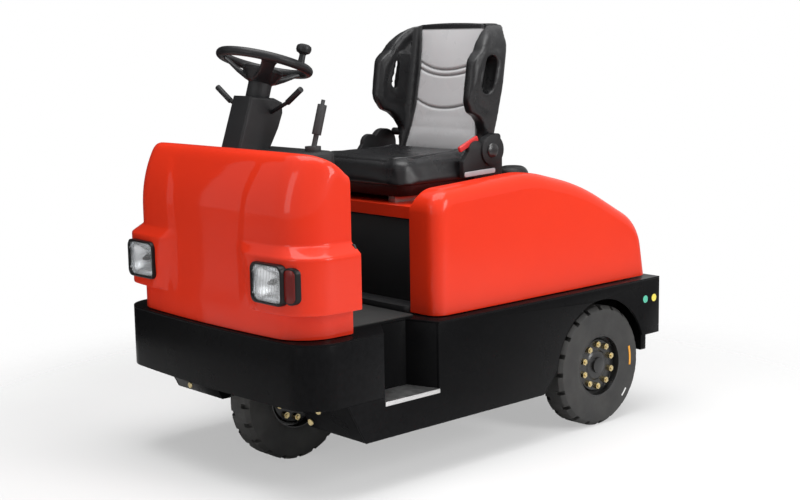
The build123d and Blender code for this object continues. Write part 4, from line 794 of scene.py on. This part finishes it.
def lamp_bowl_mesh():
    lw, lh = LENS_HALF
    steps = [(lw - 0.5, lh - 0.5, LENS_CORNER - 0.5, LAMP_FRONT + 11)]
    for i in range(1, BOWL_STEPS):
        turn = math.pi / 2 * i / BOWL_STEPS
        share = math.cos(turn)
        w, h = BOWL_EYE + (lw - BOWL_EYE) * share, BOWL_EYE + (lh - BOWL_EYE) * share
        steps.append((w, h, min(w, h) * (1 - share) + LENS_CORNER * share, LAMP_FRONT + 11 + 36 * math.sin(turn)))
    return mesh_from_rings(lamp_rings(steps), cap_last=True)


def lens_mesh():
    """A plate with a plain front and upright waves behind."""
    lw, lh = LENS_HALF
    front, columns, rows = LENS_FRONT, int(2 * lw / FLUTE_PITCH * FLUTE_STEPS), 2
    data = bmesh.new()
    layers = []
    for layer in range(2):
        grid = []
        for i in range(columns + 1):
            u = -lw + 2 * lw * i / columns
            inset = LENS_CORNER - math.sqrt(max(0.0, LENS_CORNER ** 2 - max(0.0, abs(u) - lw + LENS_CORNER) ** 2))
            wave = FLUTE_DEPTH * math.cos(2 * math.pi * u / FLUTE_PITCH)
            y = front + (4.0 + wave if layer else 1.2 * (u / lw) ** 2)
            grid.append([data.verts.new(Vector((LAMP_X + u, y, LAMP_Z + (lh - inset) * (2 * j / rows - 1))) * MM)
                         for j in range(rows + 1)])
        layers.append(grid)
    for grid in layers:
        for i in range(columns):
            for j in range(rows):
                data.faces.new((grid[i][j], grid[i + 1][j], grid[i + 1][j + 1], grid[i][j + 1]))
    for j in (0, rows):
        for i in range(columns):
            data.faces.new((layers[0][i][j], layers[0][i + 1][j], layers[1][i + 1][j], layers[1][i][j]))
    for i in (0, columns):
        for j in range(rows):
            data.faces.new((layers[0][i][j], layers[0][i][j + 1], layers[1][i][j + 1], layers[1][i][j]))
    bmesh.ops.recalc_face_normals(data, faces=data.faces)
    mesh = bpy.data.meshes.new("lamp_lens")
    data.to_mesh(mesh)
    data.free()
    return mesh

# %% Turned shapes and pairs
def lathe_mesh(profile, place, segments):
    """A turned shape: (radius, height) pairs in millimetres, spun about Z, then put in place by a matrix."""
    rings = [[(r * math.cos(2 * math.pi * i / segments), r * math.sin(2 * math.pi * i / segments), z)
              for i in range(segments)] for r, z in profile if r > 0]
    mesh = solid_from_rings(rings)
    mesh.transform(place)
    return mesh


def facing_front(x, y, z):
    """Puts a turned shape's axis along -Y, at a place given in millimetres."""
    return Matrix.Translation(Vector((x, y, z)) * MM) @ Matrix.Rotation(math.pi / 2, 4, "X")


BULB_PROFILE = [(9, 0), (9, 5), (6, 8), (5.5, 20), (4, 24), (1, 25.5)]

# %% Make the lamps
bulb_place = facing_front(LAMP_X, LAMP_FRONT + 44, LAMP_Z)
make_piece("lamp_frames", pair(lamp_frame_mesh()), BEZEL_BLACK, "chassis", "bezel_black", "headlamp_housings")
make_piece("lamp_bowls", pair(lamp_bowl_mesh()), BOWL_SILVER, "chassis", "lamp_glass")
make_piece("lamp_bulbs", pair(lathe_mesh(BULB_PROFILE, bulb_place, 16)), BULB_DARK, "chassis", "bezel_black")
lenses = make_piece("lamp_lenses", pair(lens_mesh()), LAMP_GLASS, "chassis", "lamp_glass", "headlamp_lenses")
print("lens faces:", len(lenses.data.polygons))

# %% Markers beside the lamps
MARKER_X = 414.0
POD_BEND_X = POD_HALF - POD_CORNER


def marker_mesh(half_width, half_height, corner, steps):
    """A rounded block that follows the pod round its corner: steps are (size share, depth) pairs."""
    rings = []
    for share, y in steps:
        ring = []
        for u, v in rounded_loop(half_width * share, half_height * share, corner * share, 8):
            x = MARKER_X + u
            bend = POD_CORNER - math.sqrt(POD_CORNER ** 2 - max(0.0, x - POD_BEND_X) ** 2)
            ring.append((x, y + 0.75 * bend, LAMP_Z + v))
        rings.append(ring)
    return solid_from_rings(rings)


marker_back = marker_mesh(21, 53, 19, ((1, -780), (1, -813), (0.94, -816), (0.5, -816)))
marker_front = marker_mesh(17, 47, 14, ((1, -810), (1, -817), (0.94, -818.5), (0.5, -819)))
make_piece("marker_frames", pair(marker_back), BEZEL_BLACK, "chassis", "bezel_black")
marker_lens = make_piece("marker_lenses_red", pair(marker_front), MARKER_RED, "chassis", "marker_red",
                         "marker_lenses")
print("marker faces:", len(marker_lens.data.polygons))

# %% [markdown]
# ## The steering wheel
# The wheel is dished: a round rim, three broad spokes that widen at both ends, and a hub cone below. It is
# drawn flat about its own axis and then put in place by one matrix, which holds the column's lean.

# %% Rim, spokes, hub and knob
WHEEL_PLACE = Vector((0.0, -560.0, 1248.0))
WHEEL_LEAN = math.radians(17)
RIM_R = 150.0
RIM_TUBE = 14.0
KNOB_ANGLE = math.radians(15)
SPOKE_ANGLES = (math.radians(90), math.radians(210), math.radians(330))
SPOKE_SECTIONS = ((26, -54, 34, 12), (48, -48, 26, 11), (80, -34, 20, 8), (112, -14, 22, 7), (130, -3, 30, 6.5),
                  (139, 0, 38, 6))
RIM_AROUND = 96
RIM_ACROSS = 16
SPOKE_ACROSS = 20
WHEEL_PLASTIC = finish("wheel_plastic", (0.010, 0.010, 0.011), (0.016, 0.016, 0.017), (0.26, 0.36),
                       grain=(1500, 0.2), specular=0.25)


def wheel_matrix():
    return Matrix.Translation(WHEEL_PLACE * MM) @ Matrix.Rotation(-WHEEL_LEAN, 4, "X")


def ring_mesh(radius, tube):
    rings = []
    for i in range(RIM_AROUND + 1):
        a = 2 * math.pi * i / RIM_AROUND
        rings.append([((radius + tube * math.cos(b)) * math.cos(a), (radius + tube * math.cos(b)) * math.sin(a),
                       tube * math.sin(b)) for b in (2 * math.pi * j / RIM_ACROSS for j in range(RIM_ACROSS))])
    return mesh_from_rings(rings)


def spoke_mesh(angle):
    """A spoke as a row of flat oval sections: distance out, height, half width and half thickness."""
    rings = []
    for out, rise, half, thick in SPOKE_SECTIONS:
        ring = []
        for j in range(SPOKE_ACROSS):
            b = 2 * math.pi * j / SPOKE_ACROSS
            across = half * math.copysign(abs(math.cos(b)) ** 0.7, math.cos(b))
            up = rise + thick * math.copysign(abs(math.sin(b)) ** 0.8, math.sin(b))
            ring.append((out * math.cos(angle) - across * math.sin(angle),
                         out * math.sin(angle) + across * math.cos(angle), up))
        rings.append(ring)
    return solid_from_rings(rings)

# %% Make the wheel
HUB_PROFILE = [(34, -67), (36, -66), (44, -58), (58, -36), (62, -30), (62, -22), (58, -18), (40, -16), (5, -15)]
KNOB_PROFILE = [(11, 8), (10, 20), (9.5, 34), (12, 38), (20, 42), (23, 49), (23, 56), (21, 62), (14, 66), (3, 67)]
meshes = [ring_mesh(RIM_R - RIM_TUBE, RIM_TUBE)] + [spoke_mesh(a) for a in SPOKE_ANGLES]
meshes.append(lathe_mesh(HUB_PROFILE, Matrix.Identity(4), 40))
wheel_mesh = joined(meshes)
wheel_mesh.transform(wheel_matrix())
make_piece("wheel", wheel_mesh, WHEEL_PLASTIC, "steering_wheel", "wheel_rim_black", "steering_wheel")
knob_out = Vector((math.cos(KNOB_ANGLE), math.sin(KNOB_ANGLE), 0)) * (RIM_R - RIM_TUBE) * MM
knob_mesh = lathe_mesh(KNOB_PROFILE, wheel_matrix() @ Matrix.Translation(knob_out), 28)
make_piece("wheel_knob", knob_mesh, WHEEL_PLASTIC, "steering_wheel", "wheel_rim_black", "steering_knob")
print("wheel meshes joined:", len(meshes))

# %% [markdown]
# ## Wheel bolts
# Ten hexagon bolts hold each rim. A Geometry Nodes tree sets them on a circle: it takes the number, the
# circle's radius and the bolt's size as inputs, puts one bolt on each point, makes them real and gives them
# their finish. The result is kept as a plain mesh and then moved to its wheel.

# %% A tree that sets bolts on a circle
STUD_SLIM = 0.5
STUD_TALL = 1.7


def bolt_circle_tree():
    tree, given, target = geometry_tree("bolt_circle", [
        ("Count", "Int", 10), ("Circle Radius", "Float", 0.07), ("Head Radius", "Float", 0.012),
        ("Head Height", "Float", 0.01), ("Finish", "Material", None)])
    circle = add_node(tree, "GeometryNodeMeshCircle", {"Vertices": given["Count"], "Radius": given["Circle Radius"]})
    head = add_node(tree, "GeometryNodeMeshCylinder", {"Vertices": 6, "Radius": given["Head Radius"],
                                                       "Depth": given["Head Height"]})
    slim = add_math(tree, "MULTIPLY", given["Head Radius"], STUD_SLIM)
    tall = add_math(tree, "MULTIPLY", given["Head Height"], STUD_TALL)
    stud = add_node(tree, "GeometryNodeMeshCylinder", {"Vertices": 12, "Radius": slim, "Depth": tall})
    bolt = add_node(tree, "GeometryNodeJoinGeometry", {0: head.outputs["Mesh"]})
    tree.links.new(stud.outputs["Mesh"], bolt.inputs["Geometry"])
    copies = add_node(tree, "GeometryNodeInstanceOnPoints", {"Points": circle.outputs["Mesh"],
                                                             "Instance": bolt.outputs["Geometry"]})
    real = add_node(tree, "GeometryNodeRealizeInstances", {"Geometry": copies.outputs["Instances"]})
    dressed_bolts = add_node(tree, "GeometryNodeSetMaterial", {"Geometry": real.outputs["Geometry"],
                                                               "Material": given["Finish"]})
    tree.links.new(dressed_bolts.outputs["Geometry"], target.inputs["Geometry"])
    return tree


BOLT_CIRCLE = bolt_circle_tree()
print("bolt tree inputs:", [item.name for item in BOLT_CIRCLE.interface.items_tree if item.in_out == "INPUT"])

# %% Put the bolts on the rims
RIM_BOLTS = 10
RIM_BOLT_CIRCLE = 72.0
BOLT_HEAD = 11.5
BOLT_HEIGHT = 12
BOLT_OUT = 32.0
REAR_WHEEL = Vector((0.431, 0.46, 0.205))
FRONT_WHEEL = Vector((0.0, -0.5, 0.205))


def bolt_mesh():
    holder = new_piece("bolts", bpy.data.meshes.new("bolts"), ZINC_YELLOW)
    modifier = add_modifier(holder, "NODES", node_group=BOLT_CIRCLE)
    values = {"Count": RIM_BOLTS, "Circle Radius": RIM_BOLT_CIRCLE * MM, "Head Radius": BOLT_HEAD * MM,
              "Head Height": BOLT_HEIGHT * MM, "Finish": ZINC_YELLOW}
    for item in BOLT_CIRCLE.interface.items_tree:
        if item.in_out == "INPUT" and item.name in values:
            modifier[item.identifier] = values[item.name]
    mesh = keep_result(holder).data
    bpy.data.objects.remove(holder)
    return mesh


def outward_x(centre, side, out):
    """Turns a shape drawn about Z so that it faces the machine's side, out from the wheel's middle."""
    place = Vector((centre.x * side + side * out * MM, centre.y, centre.z))
    return Matrix.Translation(place) @ Matrix.Rotation(side * math.pi / 2, 4, "Y")


for bolts_name, bolts_body, wheel_centre, wheel_side in (
        ("bolts_rear_left", "rear_wheel_left", REAR_WHEEL, 1),
        ("bolts_rear_right", "rear_wheel_right", REAR_WHEEL, -1),
        ("bolts_front", "front_wheel", FRONT_WHEEL, 1)):
    bolts = bolt_mesh()
    bolts.transform(outward_x(wheel_centre, wheel_side, BOLT_OUT))
    make_piece(bolts_name, bolts, ZINC_YELLOW, bolts_body, "rim_black", bevel=0.6, segments=1)

# %% [markdown]
# ## The seat
# Foam under vinyl swells between its seams. Each cushion starts as a copy of its CAD solid, is remeshed into
# even small faces, rounded and drawn in a little, and then blown up by a short cloth simulation whose reach is
# capped. Seams and moulded hollows come after it, as small moves of the points along their normals.

# %% Blow up a soft piece
VOXEL = 6.0
SIM_STEPS = 20
PRESSURE = 4.0


def soft_copy(node, name, shrink, rounding):
    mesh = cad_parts[node].data.copy()
    data = bmesh.new()
    data.from_mesh(mesh)
    bmesh.ops.remove_doubles(data, verts=data.verts, dist=0.02 * MM)
    data.to_mesh(mesh)
    data.free()
    piece = new_piece(name, mesh, SEAT_VINYL)
    add_modifier(piece, "REMESH", mode="VOXEL", voxel_size=VOXEL * MM)
    add_modifier(piece, "SMOOTH", factor=0.5, iterations=rounding)
    add_modifier(piece, "DISPLACE", strength=-shrink * MM, mid_level=0.0)
    return keep_result(piece)


def blow_up(piece, is_held, cap):
    held = piece.vertex_groups.new(name="held")
    held.add([v.index for v in piece.data.vertices if is_held(v.co / MM)], 1.0, "REPLACE")
    start = [v.co.copy() for v in piece.data.vertices]
    cloth = piece.modifiers.new("cloth", "CLOTH")
    cloth.settings.vertex_group_mass = "held"
    cloth.settings.use_pressure = True
    cloth.settings.uniform_pressure_force = PRESSURE
    cloth.settings.effector_weights.gravity = 0
    cloth.point_cache.frame_end = SIM_STEPS
    for step in range(1, SIM_STEPS + 1):
        scene.frame_set(step)
    keep_result(piece)
    for vertex, old in zip(piece.data.vertices, start):
        move = vertex.co - old
        if move.length > cap * MM:
            vertex.co = old + move.normalized() * cap * MM
    piece.vertex_groups.clear()
    scene.frame_set(1)

# %% Finish a soft piece
def fit_to(piece, node):
    """Rounding takes a little off all round, so the piece is stretched back to its solid's own box."""
    low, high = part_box(node)
    points = [v.co for v in piece.data.vertices]
    for axis in range(3):
        least, most = min(p[axis] for p in points), max(p[axis] for p in points)
        share = (high[axis] - low[axis]) / (most - least)
        for point in points:
            point[axis] = low[axis] + (point[axis] - least) * share


def refine(piece, node, calm):
    """Takes the sharpest wrinkles out, restores the size and splits each face in four."""
    add_modifier(piece, "SMOOTH", factor=0.5, iterations=calm)
    keep_result(piece)
    fit_to(piece, node)
    add_modifier(piece, "SUBSURF", levels=1, render_levels=1)
    keep_result(piece)


def press(piece, depth_at):
    """Moves each point along its normal by the depth, in millimetres, that a function of its place gives."""
    moves = [(v.normal.copy(), depth_at(v.co / MM, v.normal)) for v in piece.data.vertices]
    for vertex, (normal, depth) in zip(piece.data.vertices, moves):
        vertex.co += normal * depth * MM
    piece.data.update()


def groove(distance, width):
    return math.exp(-(distance / width) ** 2)

# %% The seat cushion
SEAM_HALF = 204.0
SEAM_FRONT = -196.0
SEAM_CORNER = 76.0
SEAM_TAPER = 0.15
CUSHION_FOOT = 862.0
CUSHION_CAP = 10.0


def seam_distance(x, y):
    """Signed distance from the seam that runs round the cushion's top panel, and is open to the rear."""
    half = SEAM_HALF - SEAM_TAPER * max(0.0, y - SEAM_FRONT)
    aside, ahead = abs(x) - half + SEAM_CORNER, SEAM_FRONT + SEAM_CORNER - y
    if aside > 0 and ahead > 0:
        return math.hypot(aside, ahead) - SEAM_CORNER
    return max(aside, ahead) - SEAM_CORNER


def cushion_depth(place, normal):
    if place.z < 900 or normal.z < 0.2:
        return 0.0
    distance = seam_distance(place.x, place.y)
    inside = 1 - smooth_step(-30, 0, distance)
    rear = 8.0 * smooth_step(60, 130, place.y)
    return -5.0 * groove(distance, 5.0) - 2.5 * inside + rear


def make_cushion():
    cushion = soft_copy("seat_cushion", "seat_cushion_soft", 6, 14)
    blow_up(cushion, lambda p: p.z < CUSHION_FOOT + 4, CUSHION_CAP)
    refine(cushion, "seat_cushion", 24)
    press(cushion, cushion_depth)
    return seat_on(soften(cushion), "hood", "seat_vinyl", "seat_cushion")


cushion_piece = make_cushion()
print("cushion faces:", len(cushion_piece.data.polygons))

# %% [markdown]
# ## The backrest
# The backrest is a moulded bucket: two wings curl forward round a centre panel. Round each wing runs a
# raised roll, inside it lies a hollow with the grip hole, and the centre panel is divided by curved seams. The
# distances to these lines decide how far each point moves. A painted reflection, light grey on the black vinyl,
# lies on the centre panel and breaks at its seams. It follows the same lines, through an attribute that the
# seat's own material reads.

# %% Lines of the backrest
BACK_FOOT_Z = 940.0
BACK_FOOT_Y = 176.0
BACK_SLOPE = math.tan(math.radians(8.5))
WING_LINE = ((340, 1368), (282, 1363), (225, 1352), (176, 1318), (136, 1268), (100, 1212), (84, 1150), (86, 1104),
             (104, 1066), (131, 1049), (150, 1036), (163, 1017), (172, 995), (160, 940))
GRIP_PLACE = (172.0, 1192.0)
GRIP_HALF = 37.0
GRIP_R = 25.0
GRIP_TURN = math.radians(14)
PANEL_SEAMS = ((1203, 23), (1184, 20), (1074, 22))
PANEL_TOP = 1340
PANEL_HALVES = ((940, 172), (1011, 155), (1084, 141), (1200, 136), (1305, 142), (1345, 150))


def segment_distance(p, a, b):
    """Distance in a plane from point p to the piece of line from a to b."""
    ax, az, bx, bz = b[0] - a[0], b[1] - a[1], p[0] - a[0], p[1] - a[1]
    t = min(1.0, max(0.0, (ax * bx + az * bz) / (ax * ax + az * az)))
    return math.hypot(bx - t * ax, bz - t * az)


def wing_distance(y, z):
    return min(segment_distance((y, z), a, b) for a, b in zip(WING_LINE, WING_LINE[1:]))


def grip_distance(y, z):
    reach = (math.sin(GRIP_TURN) * GRIP_HALF, math.cos(GRIP_TURN) * GRIP_HALF)
    low = (GRIP_PLACE[0] - reach[0], GRIP_PLACE[1] - reach[1])
    high = (GRIP_PLACE[0] + reach[0], GRIP_PLACE[1] + reach[1])
    return segment_distance((y, z), low, high) - GRIP_R


def panel_half(z):
    for (z0, w0), (z1, w1) in zip(PANEL_HALVES, PANEL_HALVES[1:]):
        if z <= z1:
            return w0 + (w1 - w0) * max(0.0, (z - z0) / (z1 - z0))
    return PANEL_HALVES[-1][1]


def back_face(z):
    """Where the centre panel's face lies at a height."""
    return BACK_FOOT_Y + (z - BACK_FOOT_Z) * BACK_SLOPE

# %% How far each point of the backrest moves
def painted_sheen_share(place, normal):
    """Where the painted reflection lies: 1 on the centre panel, less on its seams, 0 elsewhere."""
    ahead = place.y < back_face(place.z) + 14
    if normal.y > -0.4 or not ahead:
        return 0.0
    seams = max(groove(place.z - low - sag * (place.x / 125) ** 2, 2.6) for low, sag in PANEL_SEAMS)
    across = smooth_step(-2, 2, panel_half(place.z) - abs(place.x))
    return across * smooth_step(-2, 2, PANEL_TOP - place.z) * (1 - 0.8 * seams)


def back_depth(place, normal):
    x, y, z = place
    inner = back_face(z)
    if abs(x) > 176:
        edge, hole = wing_distance(y, z), grip_distance(y, z)
        roll = 1.5 * groove(edge - 14, 10) * (z > 1010)
        hollow = -4.0 * groove(edge - 40, 16) * smooth_step(1050, 1090, z) * smooth_step(8, 20, hole)
        return roll + hollow
    if normal.y > -0.4 or y > inner + 20:
        return 0.0
    depth = -4.5 * groove(abs(x) - panel_half(z), 5.0)
    if abs(x) < panel_half(z):
        middle = 1 - (x / panel_half(z)) ** 2
        lines = [low + sag * (x / 125) ** 2 for low, sag in PANEL_SEAMS]
        depth += 5.0 * middle - sum(5.0 * groove(z - line, 4.5) for line in lines)
    return depth

# %% A painted reflection on the seat's vinyl
def add_painted_sheen(material, colour):
    """Mixes a light colour in as a painted reflection where the piece's own panel attribute is 1."""
    tree = material.node_tree
    base = tree.nodes["Principled BSDF"].inputs["Base Color"]
    panel = add_node(tree, "ShaderNodeAttribute", attribute_name="panel")
    tree.links.new(add_mix(tree, panel.outputs["Fac"], base.links[0].from_socket, (*colour, 1)), base)


# A light grey painted on the black vinyl as the centre panel's reflection, not a grey insert.
PAINTED_SHEEN_GREY = (0.62, 0.62, 0.63)
BACK_CAP = 9.0
BACK_FOOT_DROP = 14.0
add_painted_sheen(SEAT_VINYL, PAINTED_SHEEN_GREY)

# %% Make the backrest
def make_backrest():
    back = soft_copy("seat_backrest", "seat_backrest_soft", 1, 4)
    blow_up(back, lambda p: abs(p.x) > panel_half(p.z) or p.y > back_face(p.z) + 14 or p.z > PANEL_TOP, BACK_CAP)
    refine(back, "seat_backrest", 3)
    press(back, back_depth)
    for vertex in back.data.vertices:
        vertex.co.z -= BACK_FOOT_DROP * MM * (1 - smooth_step(940, 985, vertex.co.z / MM))
    # The panel attribute carries the painted reflection: light on the centre panel, broken at the seams.
    panel = back.data.attributes.new("panel", "FLOAT", "POINT")
    for vertex in back.data.vertices:
        panel.data[vertex.index].value = painted_sheen_share(vertex.co / MM, vertex.normal)
    return seat_on(soften(back), "hood", "seat_vinyl", "seat_backrest")


back_piece = make_backrest()
print("backrest faces:", len(back_piece.data.polygons))

# %% [markdown]
# ## Small parts
# The last pieces are the small ones that the eye looks for: caps on the seat's pivots, a red belt end, steel
# slides under the seat, bolts in the frame, screws in the hinges, two plain round dots on the tail, and an amber
# and a white strip on the left rear tyre.

# %% Colours, discs and bars
STICKER_GREEN = finish("sticker_green", (0.10, 0.52, 0.36), (0.09, 0.48, 0.33), (0.4, 0.5))
STICKER_YELLOW = finish("sticker_yellow", (0.85, 0.72, 0.10), (0.80, 0.68, 0.10), (0.4, 0.5))
STRIP_AMBER = finish("strip_amber", (0.80, 0.36, 0.03), (0.75, 0.33, 0.03), (0.4, 0.5))
STRIP_WHITE = finish("strip_white", (0.75, 0.75, 0.74), (0.70, 0.70, 0.69), (0.4, 0.5))
SLIDE_STEEL = finish("slide_steel", (0.48, 0.48, 0.50), (0.42, 0.42, 0.44), (0.3, 0.4), patch=40.0)


def side_disc(place, profile):
    """A turned shape whose axis points to the machine's left."""
    return lathe_mesh(profile, outward_x(Vector(place) * MM, 1, 0), 28)


def slanted_bar(start, end, half_width, half_thick, x):
    """A rounded bar in a plane of constant X, from one (y, z) point to another."""
    (y0, z0), (y1, z1) = start, end
    length = math.hypot(y1 - y0, z1 - z0)
    along, across = ((y1 - y0) / length, (z1 - z0) / length), (-(z1 - z0) / length, (y1 - y0) / length)
    rings = []
    for share, size in ((0, 0.6), (0.03, 1), (0.97, 1), (1, 0.6)):
        y, z = y0 + along[0] * length * share, z0 + along[1] * length * share
        loop = rounded_loop(half_thick * size, half_width * size, min(half_thick, half_width) * 0.5 * size, 4)
        rings.append([(x + u, y + across[0] * v, z + across[1] * v) for u, v in loop])
    return solid_from_rings(rings)

# %% Parts of the seat
PIVOT_CAP = [(24, -1), (24, 3), (22, 6), (16, 8.5), (8, 9.6), (1, 10)]
PIVOT_AT = (277.0, 147.0, 948.0)
PIVOT_PLASTIC = finish("pivot_plastic", (0.012, 0.012, 0.013), (0.018, 0.018, 0.019), (0.2, 0.28), grain=(1500, 0.1))

make_piece("pivot_caps", pair(side_disc(PIVOT_AT, PIVOT_CAP)), PIVOT_PLASTIC, "hood", "seat_plastic")
make_piece("belt_end", slanted_bar((12, 956), (96, 990), 9, 5.5, 258), BUCKLE_RED, "hood", "buckle_red",
           "belt_buckle", bevel=1.0)
make_piece("seat_slides", pair(slanted_bar((24, 876), (165, 881), 8, 2.0, 271)), SLIDE_STEEL, "hood", "rail_steel")

# %% Dots on the tail and strips on the tyre
DOT = [(13, 0), (13, 0.5), (12, 0.8), (1, 0.8)]
DOT_X = 485.0
TYRE_WALL_X = 480.0
TYRE_Y = 460
TYRE_Z = 205
STRIP_STEPS = 8
STRIP_THICK = 0.8


def tyre_strip(name, start, end, inner, outer, material):
    """A thin strip that follows the left rear tyre's wall, between two angles in degrees and two radii."""
    rings = []
    for i in range(STRIP_STEPS + 1):
        a = math.radians(start + (end - start) * i / STRIP_STEPS)
        section = ((inner, 0), (outer, 0), (outer, STRIP_THICK), (inner, STRIP_THICK))
        rings.append([(TYRE_WALL_X + out, TYRE_Y + r * math.cos(a), TYRE_Z + r * math.sin(a)) for r, out in section])
    make_piece(name, solid_from_rings(rings), material, "rear_wheel_left", "tyre_rubber")


for dot_name, dot_y, dot_z, dot_finish in (("dot_green", 692, 403, STICKER_GREEN),
                                           ("dot_yellow", 740, 402, STICKER_YELLOW)):
    make_piece(dot_name, side_disc((DOT_X, dot_y, dot_z), DOT), dot_finish, "chassis", "chassis_black")
tyre_strip("strip_amber", -8, 17, 150, 159, STRIP_AMBER)
tyre_strip("strip_white", -48, -37, 164, 170, STRIP_WHITE)

# %% Bolts in the frame and screws in the hinges
FRAME_BOLT = [(11, 0), (11, 3), (9, 5), (1, 5.5)]
HINGE_SCREW = [(4, 0), (4, 1.4), (3, 2.2), (0.5, 2.4)]
BOLT_PLACES = ((-350, 245), (-313, 205))
SCREW_XS = (-262, -238, 238, 262)
frame_bolts = [lathe_mesh(FRAME_BOLT, facing_front(x, -665, z), 18) for x, z in BOLT_PLACES]
frame_bolts += [mirrored(mesh) for mesh in frame_bolts]
make_piece("frame_bolts", joined(frame_bolts), ZINC_YELLOW, "chassis", "hinge_steel")
facing_rear = Matrix.Rotation(-math.pi / 2, 4, "X")
screws = [lathe_mesh(HINGE_SCREW, Matrix.Translation(Vector((x, 782.6, 452)) * MM) @ facing_rear, 14)
          for x in SCREW_XS]
make_piece("hinge_screws", joined(screws), PLAIN_STEEL, "chassis", "hinge_steel")
